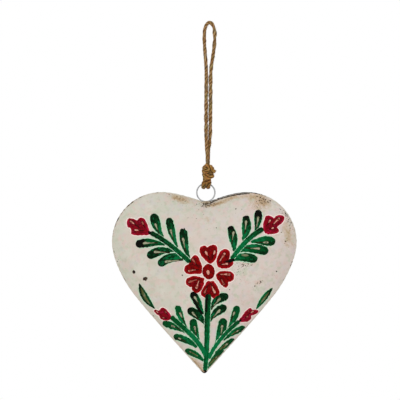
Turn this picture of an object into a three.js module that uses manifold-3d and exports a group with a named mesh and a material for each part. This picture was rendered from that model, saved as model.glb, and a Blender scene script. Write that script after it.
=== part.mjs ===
// Hanging heart: a hollow, puffy heart of painted sheet iron on a loop of jute twine.
// Two pressed shells meet at a soldered rim seam. A wire ring is brazed upright in the notch,
// and the twine goes round the ring in two turns and is wound into a knot above it.
// Millimetres, +Z up, the front faces -Y. The origin is the inside top of the twine loop,
// where the nail or hook goes.
import * as THREE from 'three';
import { mergeVertices } from 'three/addons/utils/BufferGeometryUtils.js';
import Module from 'manifold-3d';

const wasm = await Module();
wasm.setup();

// Clearances
const touchGap = 0.3; // between pieces that touch on the real object
const wrapGap = 0.55; // between neighbouring strands of the twine

// Heart, measured from the notch between the lobes
const heartWidth = 119.8; // side to side
const lobeRise = 6.9; // top of a lobe above the notch
const lobeCentre = 27.5; // middle of a lobe from the centre line
const widestDrop = 25.5; // widest level below the notch
const flankDrop = 58; // where the round side turns into the straight flank
const flankHalf = 46.65; // half width of the heart at that level
const flankLean = THREE.MathUtils.degToRad(37); // the flank's lean there, from upright
const tipDrop = 111.1; // tip below the notch
const tipRound = 2.6; // half width of the blunt tip
const notchOffset = 1; // the hand-cut notch sits this far right of the middle
const notchReach = 14; // distance from the notch over which that offset dies away
const heartDepth = 26; // front to back over both shells
const sheet = 0.5; // thickness of the sheet iron

// Rim seam
const seamRadius = 0.6; // solder bead along the rim
const seamBreak = 4.4; // rim left bare on each side of the notch, for the braze

// Ring and its braze
const ringOuter = 6.37; // outer radius of the ring
const wireRadius = 0.5; // radius of the ring's wire
const ringStand = 0.3; // height of the ring's foot above the notch
const brazeHalf = { x: 3.3, y: 2, z: 1.6 }; // half sizes of the braze lump
const brazeLift = 0.25; // middle of the lump above the notch

// Twine
const cordDiameter = 2.3;
const cordDrop = 90.8; // hanging point to the top of the knot
const loopHalf = 3.4; // half width of the loop where it opens widest, between strand centres
const coreLength = 10.6; // bundle of strands that the knot is wound on
const knotX = -1; // the knot stands this far to the side of the hanging point
const axisX = -2.4; // the ring and the notch hang this far to its side
const bundle = { x: 1.45, y: 1.9 }; // half sizes of the bundle inside the winding
const windings = 2.5; // turns of the winding
const windingTop = 1.5; // first strand's centre below the top of the bundle
const tailLength = 4.4; // cut end that leaves the winding on the right
const tailFlare = 0.45; // how far a cut end moves away from the winding per length
const turnRise = 1.8; // the turns' ends above the ring's wire
const turnSpacing = 3.2; // between the two turns on the ring

// Worked out from the sizes above
const cordRadius = cordDiameter / 2;
const strandPitch = cordDiameter + wrapGap;
const halfPitch = strandPitch / 2;
const coreTop = -cordDrop;
const coreBottom = coreTop - coreLength;
const ringRadius = ringOuter - wireRadius;
const wireZ = coreBottom - touchGap - turnRise;
const ringZ = wireZ - ringRadius;
const notchZ = ringZ - ringOuter - ringStand;
const rimY = seamRadius + touchGap;
const rimInset = seamRadius / 2;

// Faceting
const halfOutlineParts = [8, 14, 10, 11]; // steps in the four curves of a half outline
const domeRings = 9;
const cordSides = 8;

// Outline of the heart

// Right half from the notch over the lobe and down to the tip, in x and height above the notch.
function halfOutline() {
  const half = heartWidth / 2;
  const side = widestDrop + lobeRise;
  const flank = new THREE.Vector2(flankHalf, -flankDrop);
  const towardsTip = new THREE.Vector2(-Math.sin(flankLean), -Math.cos(flankLean));
  const curves = [
    new THREE.CubicBezierCurve(
      new THREE.Vector2(0, 0),
      new THREE.Vector2(lobeCentre * 0.19, lobeRise * 0.29),
      new THREE.Vector2(lobeCentre * 0.66, lobeRise),
      new THREE.Vector2(lobeCentre, lobeRise),
    ),
    new THREE.CubicBezierCurve(
      new THREE.Vector2(lobeCentre, lobeRise),
      new THREE.Vector2(lobeCentre + (half - lobeCentre) * 0.57, lobeRise),
      new THREE.Vector2(half, lobeRise - side * 0.46),
      new THREE.Vector2(half, -widestDrop),
    ),
    new THREE.CubicBezierCurve(
      new THREE.Vector2(half, -widestDrop),
      new THREE.Vector2(half, -widestDrop - (flankDrop - widestDrop) * 0.34),
      flank.clone().addScaledVector(towardsTip, -9),
      flank,
    ),
    new THREE.CubicBezierCurve(
      flank,
      flank.clone().addScaledVector(towardsTip, 17),
      new THREE.Vector2(tipRound + 14.4, -tipDrop + 17.2),
      new THREE.Vector2(tipRound, -tipDrop + tipRound * 0.6),
    ),
  ];
  const points = [];
  curves.forEach((curve, n) => points.push(...curve.getPoints(halfOutlineParts[n]).slice(0, -1)));
  points.push(new THREE.Vector2(tipRound, -tipDrop + tipRound * 0.6));
  points.push(new THREE.Vector2(tipRound * 0.55, -tipDrop + tipRound * 0.18));
  return points;
}

// The whole outline, clockwise from the notch as seen from the front. Away from the notch, both
// halves lie to its left by the offset.
function wholeOutline() {
  const right = halfOutline();
  const left = right.slice(1).reverse().map((p) => new THREE.Vector2(-p.x, p.y));
  const even = [...right, new THREE.Vector2(0, -tipDrop), ...left];
  return even.map((p) => {
    const share = 1 - Math.exp(-((p.length() / notchReach) ** 2));
    return new THREE.Vector2(p.x - notchOffset * share, p.y);
  });
}

// Outward direction at each point, square to the line between its neighbours.
function outwards(outline, n) {
  const count = outline.length;
  const before = outline[(n + count - 1) % count];
  const after = outline[(n + 1) % count];
  return new THREE.Vector2(before.y - after.y, after.x - before.x).normalize();
}

function inset(outline, distance) {
  return outline.map((p, n) => p.clone().addScaledVector(outwards(outline, n), -distance));
}

const outline = wholeOutline();

// Dome of a shell

// Harmonic mean of the distances from a point to the outline in every direction. It is zero on
// the outline, and it rises smoothly to one crown without creases.
function reach(outlinePoints, x, z) {
  const here = new THREE.Vector2(x, z);
  const rays = outlinePoints.map((p) => p.clone().sub(here));
  let sum = 0;
  rays.forEach((a, n) => {
    const b = rays[(n + 1) % rays.length];
    const tangent = Math.abs(a.cross(b)) / (a.length() * b.length() + a.dot(b));
    sum += (1 / a.length() + 1 / b.length()) * tangent * (a.cross(b) > 0 ? -1 : 1);
  });
  return 1 / sum;
}

const crown = new THREE.Vector2(-notchOffset, -0.38 * tipDrop); // the poles of the domes
const domeFullness = 1.6; // a higher value gives steeper edges and a flatter crown

// One side of a dome as rings of points from the rim to just short of the crown, and the crown.
// The wall bulges to `height` from the rim's level, and x and z are measured from the notch.
function domeRingsOf(rim, height, side) {
  const highest = reach(rim, crown.x, crown.y);
  const y = (x, z) => {
    const t = Math.min(1, reach(rim, x, z) / highest);
    return side * (rimY + (height - rimY) * (1 - (1 - t) ** domeFullness));
  };
  const rings = [rim.map((p) => new THREE.Vector3(p.x, side * rimY, p.y))];
  for (let k = 1; k < domeRings; k += 1) {
    const share = Math.cos((k / domeRings) * (Math.PI / 2));
    rings.push(rim.map((p) => {
      const at = crown.clone().lerp(p, share);
      return new THREE.Vector3(at.x, y(at.x, at.y), at.y);
    }));
  }
  return { rings, pole: new THREE.Vector3(crown.x, side * height, crown.y) };
}

// Closed bodies

// Skin over rings of points with as many points each. The first and last rings are closed by
// the given poles, or by their own middles. Faces are turned outwards at the end.
function skin(rings, firstPole, lastPole) {
  const count = rings[0].length;
  const middle = (ring) => ring.reduce((sum, p) => sum.add(p), new THREE.Vector3()).divideScalar(count);
  const points = [...rings.flat(), firstPole ?? middle(rings[0]), lastPole ?? middle(rings.at(-1))];
  const first = rings.length * count;
  const index = [];
  for (let n = 0; n < count; n += 1) {
    const next = (n + 1) % count;
    for (let k = 0; k + 1 < rings.length; k += 1) {
      const a = k * count;
      const b = a + count;
      index.push(a + n, b + n, a + next, a + next, b + n, b + next);
    }
    const last = (rings.length - 1) * count;
    index.push(first, n, next);
    index.push(first + 1, last + next, last + n);
  }
  const geometry = new THREE.BufferGeometry();
  geometry.setAttribute('position', new THREE.Float32BufferAttribute(points.flatMap((p) => p.toArray()), 3));
  geometry.setIndex(index);
  return facingOut(geometry);
}

function signedVolume(geometry) {
  const at = geometry.getAttribute('position');
  const index = geometry.getIndex();
  const [a, b, c] = [new THREE.Vector3(), new THREE.Vector3(), new THREE.Vector3()];
  let sum = 0;
  for (let n = 0; n < index.count; n += 3) {
    a.fromBufferAttribute(at, index.getX(n));
    b.fromBufferAttribute(at, index.getX(n + 1));
    c.fromBufferAttribute(at, index.getX(n + 2));
    sum += a.dot(b.cross(c));
  }
  return sum / 6;
}

function facingOut(geometry) {
  if (signedVolume(geometry) < 0) {
    geometry.setIndex([...geometry.getIndex().array].reverse());
  }
  geometry.computeVertexNormals();
  return geometry;
}

// Cutting

function toSolid(geometry) {
  const bare = geometry.clone();
  bare.deleteAttribute('normal');
  bare.deleteAttribute('uv');
  const merged = mergeVertices(bare, 1e-5);
  const mesh = new wasm.Mesh({
    numProp: 3,
    vertProperties: new Float32Array(merged.getAttribute('position').array),
    triVerts: new Uint32Array(merged.getIndex().array),
  });
  return new wasm.Manifold(mesh);
}

function toGeometry(solid) {
  const mesh = solid.getMesh();
  const geometry = new THREE.BufferGeometry();
  geometry.setAttribute('position', new THREE.BufferAttribute(mesh.vertProperties, 3));
  geometry.setIndex(new THREE.BufferAttribute(mesh.triVerts, 1));
  geometry.computeVertexNormals();
  return geometry;
}

// The heart's pieces, with the notch at the origin

// A pressed bowl: outer dome, inner dome one sheet inside it, and the rim's edge between them.
function shell(side) {
  const rim = inset(outline, rimInset);
  const outer = domeRingsOf(rim, heartDepth / 2, side);
  const inner = domeRingsOf(inset(rim, sheet), heartDepth / 2 - sheet, side);
  return skin([...outer.rings.reverse(), ...inner.rings], outer.pole, inner.pole);
}

// A round solder bead that fills the rim between the shells, and stops short of the notch.
function rimSeam() {
  const line = inset(outline, seamRadius);
  const from = line.findIndex((p) => p.length() > seamBreak);
  const to = line.length - from;
  const rings = [];
  for (let n = from; n <= to; n += 1) {
    const out = outwards(outline, n);
    const ring = [];
    for (let k = 0; k < 8; k += 1) {
      const angle = (k / 8) * Math.PI * 2;
      const reachOut = seamRadius * Math.cos(angle);
      ring.push(new THREE.Vector3(
        line[n].x + out.x * reachOut,
        seamRadius * Math.sin(angle),
        line[n].y + out.y * reachOut,
      ));
    }
    rings.push(ring);
  }
  return skin(rings);
}

function ring(extra = 0) {
  const geometry = new THREE.TorusGeometry(ringRadius, wireRadius + extra, 10, 44);
  geometry.rotateX(Math.PI / 2);
  geometry.translate(0, 0, ringOuter + ringStand);
  return geometry;
}

// Braze run over the ring's foot and the edges of the shells, hollowed to fit them.
function ringBraze() {
  const lump = new THREE.SphereGeometry(1, 24, 14);
  lump.scale(brazeHalf.x, brazeHalf.y, brazeHalf.z);
  lump.translate(0, 0, brazeLift);
  const grown = inset(outline, -touchGap);
  const front = domeRingsOf(grown, heartDepth / 2 + touchGap, -1);
  const back = domeRingsOf(grown, heartDepth / 2 + touchGap, 1);
  const hearts = skin([...front.rings.reverse(), ...back.rings], front.pole, back.pole);
  const cut = toSolid(lump).subtract(toSolid(ring(touchGap))).subtract(toSolid(hearts));
  return toGeometry(cut);
}

// The twine, with the hanging point at the origin

function cordTube(curve, steps, sides = cordSides) {
  const section = new THREE.Shape();
  for (let n = 0; n < sides; n += 1) {
    const angle = ((n + 0.5) / sides) * Math.PI * 2;
    const corner = new THREE.Vector2(Math.cos(angle), Math.sin(angle)).multiplyScalar(cordRadius);
    if (n === 0) section.moveTo(corner.x, corner.y);
    else section.lineTo(corner.x, corner.y);
  }
  section.closePath();
  return new THREE.ExtrudeGeometry(section, { steps, extrudePath: curve, bevelEnabled: false, curveSegments: 1 });
}

// The loop: up one strand, over the hanging point and down the other. The strands lie side by
// side below the opening, then one goes behind the other as they enter the knot.
function loopCurve() {
  const end = -(cordDrop - touchGap);
  const rightStrand = [
    [1.9, 0, cordRadius - 1.35],
    [loopHalf - 0.3, 0, -3.6],
    [loopHalf, 0, -7],
    [loopHalf - 0.15, 0, -12],
    [2.3, 0, -20],
    [1, 0, -29],
    [0.75, 0, -40],
    [0.72, 0.05, -53],
    [0.6, 0.1, -64],
    [0.35, 0.8, -73],
    [-0.55, 1.3, -81],
    [-0.95, halfPitch, end + cordDiameter],
    [-1, halfPitch, end],
  ];
  const leftStrand = [
    [-1.9, 0, cordRadius - 1.35],
    [-loopHalf + 0.3, 0, -3.6],
    [-loopHalf, 0, -7],
    [-loopHalf + 0.1, 0, -12],
    [-2.8, 0, -20],
    [-2.15, 0, -29],
    [-2.2, 0, -40],
    [-2.3, -0.05, -53],
    [-2.3, -0.1, -64],
    [-2.2, -0.8, -73],
    [-1.8, -1.3, -81],
    [-1.35, -halfPitch, end + cordDiameter],
    [-1.3, -halfPitch, end],
  ];
  const top = [0, 0, cordRadius];
  const points = [...leftStrand.reverse(), top, ...rightStrand];
  return new THREE.CatmullRomCurve3(points.map((p) => new THREE.Vector3(...p)), false, 'centripetal');
}

// The bundle of strands inside the knot, as oval sections from top to bottom.
function knotCore() {
  const top = { x: cordRadius + 0.2, y: halfPitch + cordRadius };
  const foot = { x: turnSpacing / 2 + cordRadius, y: halfPitch + cordRadius };
  const windingFoot = (windingTop + windings * strandPitch + cordRadius) / coreLength;
  const sections = [
    { at: 0, x: knotX - 0.15, half: top },
    { at: 0.04, x: knotX - 0.1, half: top },
    { at: 0.13, x: knotX, half: bundle },
    { at: windingFoot, x: knotX, half: bundle },
    { at: 0.96, x: (knotX + axisX) / 2, half: foot },
    { at: 1, x: (knotX + axisX) / 2, half: foot },
  ];
  return skin(sections.map((s) => {
    const loop = [];
    for (let n = 0; n < 20; n += 1) {
      const angle = (n / 20) * Math.PI * 2;
      const z = coreTop - s.at * coreLength;
      loop.push(new THREE.Vector3(s.x + s.half.x * Math.cos(angle), s.half.y * Math.sin(angle), z));
    }
    return loop;
  }));
}

// The winding round the bundle: an oval helix that comes in from a cut end at the back right,
// goes down by one pitch a turn, and runs out into a cut end at the front right.
class WindingCurve extends THREE.Curve {
  getPoint(t, target = new THREE.Vector3()) {
    const across = bundle.x + wrapGap + cordRadius;
    const deep = bundle.y + wrapGap + cordRadius;
    const turnLength = Math.PI * (across + deep);
    const length = windings * turnLength + 2 * tailLength;
    const along = t * length;
    const wound = THREE.MathUtils.clamp((along - tailLength) / turnLength, 0, windings);
    const free = Math.max(tailLength - along, along - (length - tailLength), 0);
    const angle = Math.PI / 2 + wound * Math.PI * 2;
    const flare = Math.sin(angle) * tailFlare * free;
    return target.set(
      knotX + across * Math.cos(angle) + free,
      deep * Math.sin(angle) + flare,
      coreTop - windingTop - wound * strandPitch,
    );
  }
}

// One turn of twine under the ring's wire: down at the front, round the wire, up at the back.
function turnCurve(side) {
  const wrapRadius = wireRadius + touchGap + cordRadius;
  const away = turnSpacing / 2;
  const wireDrop = ringRadius - Math.sqrt(ringRadius ** 2 - away ** 2);
  const topX = (knotX + axisX) / 2 + side * away;
  const wireX = axisX + side * away;
  const middle = wireZ - wireDrop;
  const points = [];
  for (let n = 0; n <= 6; n += 1) {
    const angle = Math.PI + (n / 6) * Math.PI;
    points.push(new THREE.Vector3(wireX, wrapRadius * Math.cos(angle), middle + wrapRadius * Math.sin(angle)));
  }
  const shoulder = (wrapRadius + halfPitch) / 2;
  const neck = (front) => [
    new THREE.Vector3(topX, front * halfPitch, wireZ + turnRise),
    new THREE.Vector3(topX, front * halfPitch, wireZ + turnRise * 0.7),
    new THREE.Vector3((topX + wireX) / 2, front * shoulder, wireZ + turnRise * 0.35),
  ];
  return new THREE.CatmullRomCurve3([...neck(-1), ...points, ...neck(1).reverse()], false, 'centripetal');
}

// Least gap between stretches of one tube that lie further apart along it than round its bend.
function leastGap(curve, name) {
  const count = 400;
  const length = curve.getLength();
  const points = curve.getSpacedPoints(count);
  const skip = Math.ceil((cordDiameter * 2.2) / (length / count));
  let least = Infinity;
  for (let a = 0; a <= count; a += 1) {
    for (let b = a + skip; b <= count; b += 1) {
      least = Math.min(least, points[a].distanceTo(points[b]) - cordDiameter);
    }
  }
  console.log(`${name}: ${length.toFixed(1)} mm long, least gap to itself ${least.toFixed(2)} mm`);
}

// Materials

const finishes = {
  frontPaint: { color: 0xd8cfc2, roughness: 0.62, metalness: 0 },
  backPaint: { color: 0xd2c9bb, roughness: 0.66, metalness: 0 },
  solder: { color: 0x4a4038, roughness: 0.6, metalness: 0.6 },
  paintedWire: { color: 0xb9b6b0, roughness: 0.5, metalness: 0.2 },
  braze: { color: 0x9a8468, roughness: 0.7, metalness: 0.3 },
  jute: { color: 0x8a6236, roughness: 0.95, metalness: 0 },
};

// Assembly

const group = new THREE.Group();
const heart = new THREE.Group();
heart.position.set(axisX, 0, notchZ);
group.add(heart);

function addPiece(parent, name, geometry, finish) {
  const mesh = new THREE.Mesh(geometry, new THREE.MeshStandardMaterial(finish));
  mesh.name = name;
  parent.add(mesh);
}

addPiece(heart, 'front_shell', shell(-1), finishes.frontPaint);
addPiece(heart, 'back_shell', shell(1), finishes.backPaint);
addPiece(heart, 'rim_seam', rimSeam(), finishes.solder);
addPiece(heart, 'hanging_ring', ring(), finishes.paintedWire);
addPiece(heart, 'ring_braze', ringBraze(), finishes.braze);

addPiece(group, 'cord_loop', cordTube(loopCurve(), 78), finishes.jute);
addPiece(group, 'cord_core', knotCore(), finishes.jute);
addPiece(group, 'cord_knot', cordTube(new WindingCurve(), 72, 6), finishes.jute);
addPiece(group, 'cord_turn_left', cordTube(turnCurve(-1), 18), finishes.jute);
addPiece(group, 'cord_turn_right', cordTube(turnCurve(1), 18), finishes.jute);

leastGap(loopCurve(), 'cord_loop');
leastGap(new WindingCurve(), 'cord_knot');

export default group;
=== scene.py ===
import math

import bpy
import numpy as np
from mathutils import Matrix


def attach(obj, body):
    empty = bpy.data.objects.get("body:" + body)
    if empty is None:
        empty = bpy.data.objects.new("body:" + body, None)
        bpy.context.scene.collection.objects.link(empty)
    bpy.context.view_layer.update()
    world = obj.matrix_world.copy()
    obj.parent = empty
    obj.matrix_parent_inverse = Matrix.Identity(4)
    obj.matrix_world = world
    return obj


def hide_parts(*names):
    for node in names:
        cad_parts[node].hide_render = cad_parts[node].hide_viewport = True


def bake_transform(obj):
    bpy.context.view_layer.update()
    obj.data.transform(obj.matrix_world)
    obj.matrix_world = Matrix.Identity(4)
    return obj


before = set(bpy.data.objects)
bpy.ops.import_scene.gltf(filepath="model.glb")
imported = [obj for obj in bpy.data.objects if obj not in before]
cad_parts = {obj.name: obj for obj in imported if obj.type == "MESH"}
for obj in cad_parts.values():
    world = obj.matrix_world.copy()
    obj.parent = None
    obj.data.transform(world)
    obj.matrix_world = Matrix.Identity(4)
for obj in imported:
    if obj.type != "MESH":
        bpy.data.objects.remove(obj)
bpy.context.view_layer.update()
mm = 0.001  # every shape below is worked out in millimetres


# Camera: a long lens at the height of the heart, square on to the painted front
view = {
    "lens": 135.0,
    "sensor": 36.0,
    "frameWidth": 260.0,  # width that the picture takes in at the heart's middle plane
    "centre": (-6.2, -114.2),  # x and z that the picture's middle looks at
    "pixels": 400,
    "far": 20.0,  # metres
}
viewDistance = view["lens"] / view["sensor"] * view["frameWidth"]
pixel = view["frameWidth"] / view["pixels"]
scene = bpy.context.scene
cameraData = bpy.data.cameras.new("camera")
cameraData.lens = view["lens"]
cameraData.sensor_width = view["sensor"]
cameraData.clip_end = view["far"]
camera = bpy.data.objects.new("camera", cameraData)
camera.location = (view["centre"][0] * mm, -viewDistance * mm, view["centre"][1] * mm)
camera.rotation_euler = (math.radians(90), 0, 0)
scene.collection.objects.link(camera)
scene.camera = camera
scene.view_settings.view_transform = "Standard"
print("camera placed")


# Small tools that every piece uses

def linearColour(hexText):  # sRGB hex to linear RGBA
    channels = np.array([int(hexText[n:n + 2], 16) for n in (1, 3, 5)]) / 255
    linear = np.where(channels <= 0.04045, channels / 12.92, ((channels + 0.055) / 1.055) ** 2.4)
    return (*linear.tolist(), 1.0)


def addNode(tree, kind, settings=None, inputs=None):  # one node with its settings, values and links
    node = tree.nodes.new(kind)
    for key, value in (settings or {}).items():
        setattr(node, key, value)
    for key, value in (inputs or {}).items():
        if isinstance(value, bpy.types.NodeSocket):
            tree.links.new(value, node.inputs[key])
        else:
            node.inputs[key].default_value = value
    return node


def newMaterial(name):  # a material with an empty node tree
    material = bpy.data.materials.new(name)
    material.use_nodes = True
    material.node_tree.nodes.clear()
    return material, material.node_tree


def layered(tree, base, layers):
    # Tints laid over a base colour, the lowest first. Each layer gives the level that decides where
    # its tint shows, the tint, the levels at which it starts and is full, and the most of it.
    for level, tint, low, high, most in layers:
        share = addNode(tree, "ShaderNodeMapRange", {"interpolation_type": "SMOOTHSTEP"},
                        {0: level, 1: low, 2: high, 4: most}).outputs[0]
        base = addNode(tree, "ShaderNodeMix", {"data_type": "RGBA"},
                       {0: share, 6: base, 7: linearColour(tint)}).outputs[2]
    return base, share


def surfaced(tree, colour, height, relief, sockets):
    # The end of a material: its relief, of a strength and a depth in mm, the shader and the output
    bump = addNode(tree, "ShaderNodeBump", None,
                   {"Strength": relief[0], "Distance": relief[1] * mm, "Height": height})
    shader = addNode(tree, "ShaderNodeBsdfPrincipled", None,
                     {"Base Color": colour, "Normal": bump.outputs[0], **sockets})
    addNode(tree, "ShaderNodeOutputMaterial", None, {"Surface": shader.outputs[0]})


def unit(vectors):  # each vector divided by its length
    return vectors / np.maximum(np.linalg.norm(vectors, axis=-1, keepdims=True), 1e-12)


def smooth(values, low, high):  # 0 below low, 1 above high, and an S curve between them
    t = np.clip((values - low) / (high - low), 0, 1)
    return t * t * (3 - 2 * t)


def ripple(points, wavelength, seed, count=9, spread=(0.7, 1.5)):
    # Sum of cosine waves in random directions, each about one wavelength long, scaled to about -1..1
    draw = np.random.default_rng(seed)
    points = np.asarray(points, float)
    directions = unit(draw.normal(size=(count, points.shape[-1])))
    pitch = wavelength * draw.uniform(*spread, count)
    phases = draw.uniform(0, 2 * np.pi, count)
    angle = points @ directions.T * (2 * np.pi / pitch) + phases
    return np.cos(angle).sum(-1) / math.sqrt(count)


def lengthsAlong(points):  # length of a line from its start to each of its points
    return np.concatenate([[0], np.cumsum(np.linalg.norm(np.diff(points, axis=0), axis=1))])


def fullTurn(count):  # angles evenly spread round a circle
    return np.linspace(0, 2 * np.pi, count, endpoint=False)


def evenly(points, step):
    # The same line with points one step apart, by linear interpolation on its arc length
    along = lengthsAlong(points)
    places = np.linspace(0, along[-1], max(2, int(round(along[-1] / step)) + 1))
    return np.stack([np.interp(places, along, points[:, n]) for n in range(points.shape[1])], 1)


def throughPoints(points, perSpan, closed=False):
    # Centripetal Catmull-Rom curve: cubic Hermite spans whose tangents weigh the neighbouring
    # chords by the square roots of their lengths
    p = np.asarray(points, float)
    if closed:
        p = np.vstack([p[-1:], p, p[:2]])
    else:
        p = np.vstack([2 * p[0] - p[1], p, 2 * p[-1] - p[-2]])
    d = np.sqrt(np.linalg.norm(np.diff(p, axis=0), axis=1))[:, None]
    p0, p1, p2, p3 = p[:-3], p[1:-2], p[2:-1], p[3:]
    d0, d1, d2 = d[:-2], d[1:-1], d[2:]
    leave = ((p1 - p0) / d0 - (p2 - p0) / (d0 + d1) + (p2 - p1) / d1) * d1
    arrive = ((p2 - p1) / d1 - (p3 - p1) / (d1 + d2) + (p3 - p2) / d2) * d1
    t = np.linspace(0, 1, perSpan, endpoint=False)[None, :, None]
    spans = ((2 * t**3 - 3 * t**2 + 1) * p1[:, None] + (t**3 - 2 * t**2 + t) * leave[:, None]
             + (3 * t**2 - 2 * t**3) * p2[:, None] + (t**3 - t**2) * arrive[:, None])
    line = spans.reshape(-1, p.shape[1])
    return line if closed else np.vstack([line, p2[-1:]])


def gridQuads(rows, columns, joined=False):
    # Faces between neighbouring rows of points. The columns wrap round, and so do the rows of a
    # joined grid.
    row, column = np.meshgrid(np.arange(rows if joined else rows - 1), np.arange(columns), indexing="ij")
    after, beside = (row + 1) % rows, (column + 1) % columns
    return np.stack([row * columns + column, row * columns + beside, after * columns + beside,
                     after * columns + column], -1).reshape(-1, 4)


def closedSkin(rings, start=None, end=None, **values):
    # Closed surface over a grid of points: neighbouring rings are joined by quads, the columns
    # wrap round, and a fan to a pole closes each end. Values ride along on every point.
    rows, columns = rings.shape[:2]
    start = rings[0].mean(0) if start is None else np.asarray(start, float)
    end = rings[-1].mean(0) if end is None else np.asarray(end, float)
    points = np.vstack([rings.reshape(-1, 3), start[None], end[None]])
    n = np.arange(columns)
    after = (n + 1) % columns
    last = (rows - 1) * columns
    first = np.stack([np.full(columns, rows * columns), after, n], -1)
    final = np.stack([np.full(columns, rows * columns + 1), last + n, last + after], -1)
    carried = {}
    for name, value in values.items():
        flat = value.reshape(rows * columns, -1)
        carried[name] = np.vstack([flat, value[0].reshape(columns, -1).mean(0),
                                   value[-1].reshape(columns, -1).mean(0)])
    return turnedOut({"points": points, "faces": [gridQuads(rows, columns), first, final],
                      "values": carried})


def turnedOut(part):  # faces reversed where the part's signed volume is negative
    volume = 0.0
    for faces in part["faces"]:
        corners = part["points"][faces]
        for n in range(2, faces.shape[1]):
            volume += np.einsum("ij,ij->", corners[:, 0], np.cross(corners[:, n - 1], corners[:, n]))
    if volume < 0:
        part["faces"] = [faces[:, ::-1] for faces in part["faces"]]
    return part


def buildPiece(name, parts, material):
    # Puts the parts' arrays into one mesh object, whose place is in its vertices
    offsets = np.cumsum([0] + [len(part["points"]) for part in parts])
    points = np.concatenate([part["points"] for part in parts]) * mm
    loops, sizes = [], []
    for part, offset in zip(parts, offsets):
        for faces in part["faces"]:
            loops.append((faces + offset).ravel())
            sizes.append(np.full(len(faces), faces.shape[1]))
    loops, sizes = np.concatenate(loops), np.concatenate(sizes)
    mesh = bpy.data.meshes.new(name)
    mesh.vertices.add(len(points))
    mesh.vertices.foreach_set("co", points.astype(np.float32).ravel())
    mesh.loops.add(len(loops))
    mesh.loops.foreach_set("vertex_index", loops.astype(np.int32))
    mesh.polygons.add(len(sizes))
    mesh.polygons.foreach_set("loop_start", (np.cumsum(sizes) - sizes).astype(np.int32))
    mesh.polygons.foreach_set("use_smooth", np.ones(len(sizes), bool))
    mesh.update(calc_edges=True)
    for key in parts[0]["values"]:
        value = np.concatenate([part["values"][key] for part in parts])
        width = value.shape[1]
        attribute = mesh.attributes.new(key, "FLOAT" if width == 1 else "FLOAT_VECTOR", "POINT")
        attribute.data.foreach_set("value" if width == 1 else "vector", value.astype(np.float32).ravel())
    mesh.materials.append(material)
    piece = bpy.data.objects.new(name, mesh)
    scene.collection.objects.link(piece)
    return piece


# Twine: three-ply jute, about 2.3 mm thick
twine = {
    "radius": 1.15,
    "plies": 3,
    "lay": 9.6,  # length of one full turn of a ply
    "uneven": 0.13,  # how many turns the twist wanders
    "unevenLength": 16,
    "grooves": 0.2,  # depth of the grooves between plies, as a share of the radius
    "grooveForm": 1.7,  # the higher, the narrower the grooves
    "slubs": 0.1,  # how much the thickness wanders
    "slubLength": 7,
    "yarns": 0.03,  # height of the single yarns, as a share of the radius
    "yarnSize": 1.2,
    "yarnRun": (3, 3, 0.35),  # how far their pattern reaches round the twine and along it
    "crown": 1.03,
    "endShare": 0.82,  # size of the first and last ring, from which the poles stand out
    "endPole": 0.25,
    "apart": 31.0,  # each twine's pattern is this far from the last one's
    "step": 0.3,
    "sides": 30,
}


def twinePart(path, across, seed, radius=twine["radius"], roll=0.0, lay=twine["lay"]):
    # Profile of three rounded lobes carried along the path, turned by one lay's length a turn.
    # `across` is a direction that the path never follows, from which the profile's axes are made.
    line = evenly(path, twine["step"])
    along = np.arange(len(line))[:, None] * twine["step"]
    tangent = unit(np.gradient(line, axis=0))
    across = np.array(across, float)
    side = unit(across - tangent * (tangent @ across)[:, None])
    other = np.cross(tangent, side)
    theta = fullTurn(twine["sides"])[None]
    twist = along / lay + twine["uneven"] * ripple(along, twine["unevenLength"], seed + 2)[:, None]
    turned = theta - 2 * np.pi * twist + roll
    hollow = (1 - np.abs(np.cos(twine["plies"] / 2 * turned))) ** twine["grooveForm"]
    thickness = 1 + twine["slubs"] * ripple(along, twine["slubLength"], seed)[:, None]
    around = np.stack([np.cos(turned), np.sin(turned), np.broadcast_to(along, turned.shape)], -1)
    yarns = twine["yarns"] * ripple(around * twine["yarnRun"], twine["yarnSize"], seed + 1)
    size = radius * thickness * (twine["crown"] - twine["grooves"] * hollow + yarns)
    size[[0, -1]] *= twine["endShare"]
    rings = line[:, None] + size[..., None] * (np.cos(theta)[..., None] * side[:, None]
                                               + np.sin(theta)[..., None] * other[:, None])
    top, bottom = line[0] - tangent[0] * twine["endPole"], line[-1] + tangent[-1] * twine["endPole"]
    return closedSkin(rings, top, bottom, hollow=hollow,
                      lay=around * (radius, radius, 1) + (0, 0, seed * twine["apart"]))


# Loose fibres of the twine, in mm and as shares of the twine's radius
fibre = {
    "steps": 6,
    "sides": 3,
    "taper": 0.7,
    # a loose fibre takes no painted groove shade, as if it lay on a ply's crown
    "hollow": -0.6,  # the jute's colours take a fibre as the crown of a ply
    "apart": 7.3,
    "longest": 1.9,
    "shortest": 0.35,  # share of the longest
    "thickness": 0.055,
    "root": 0.86,  # how far out a fibre starts
    "leave": (0.05, 0.7),  # least and most steepness
    "stray": 0.3,
    "bend": 0.3,
    "bendMost": 1.2,
}
fray = {  # the same for a cut end
    "shortest": 0.5,
    "thickness": 0.085,
    "root": 0.85,
    "inside": 0.6,  # how far behind the end face the fibres start
    "spread": 0.3,
    "stray": 0.15,
    "bend": 0.2,
}


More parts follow.
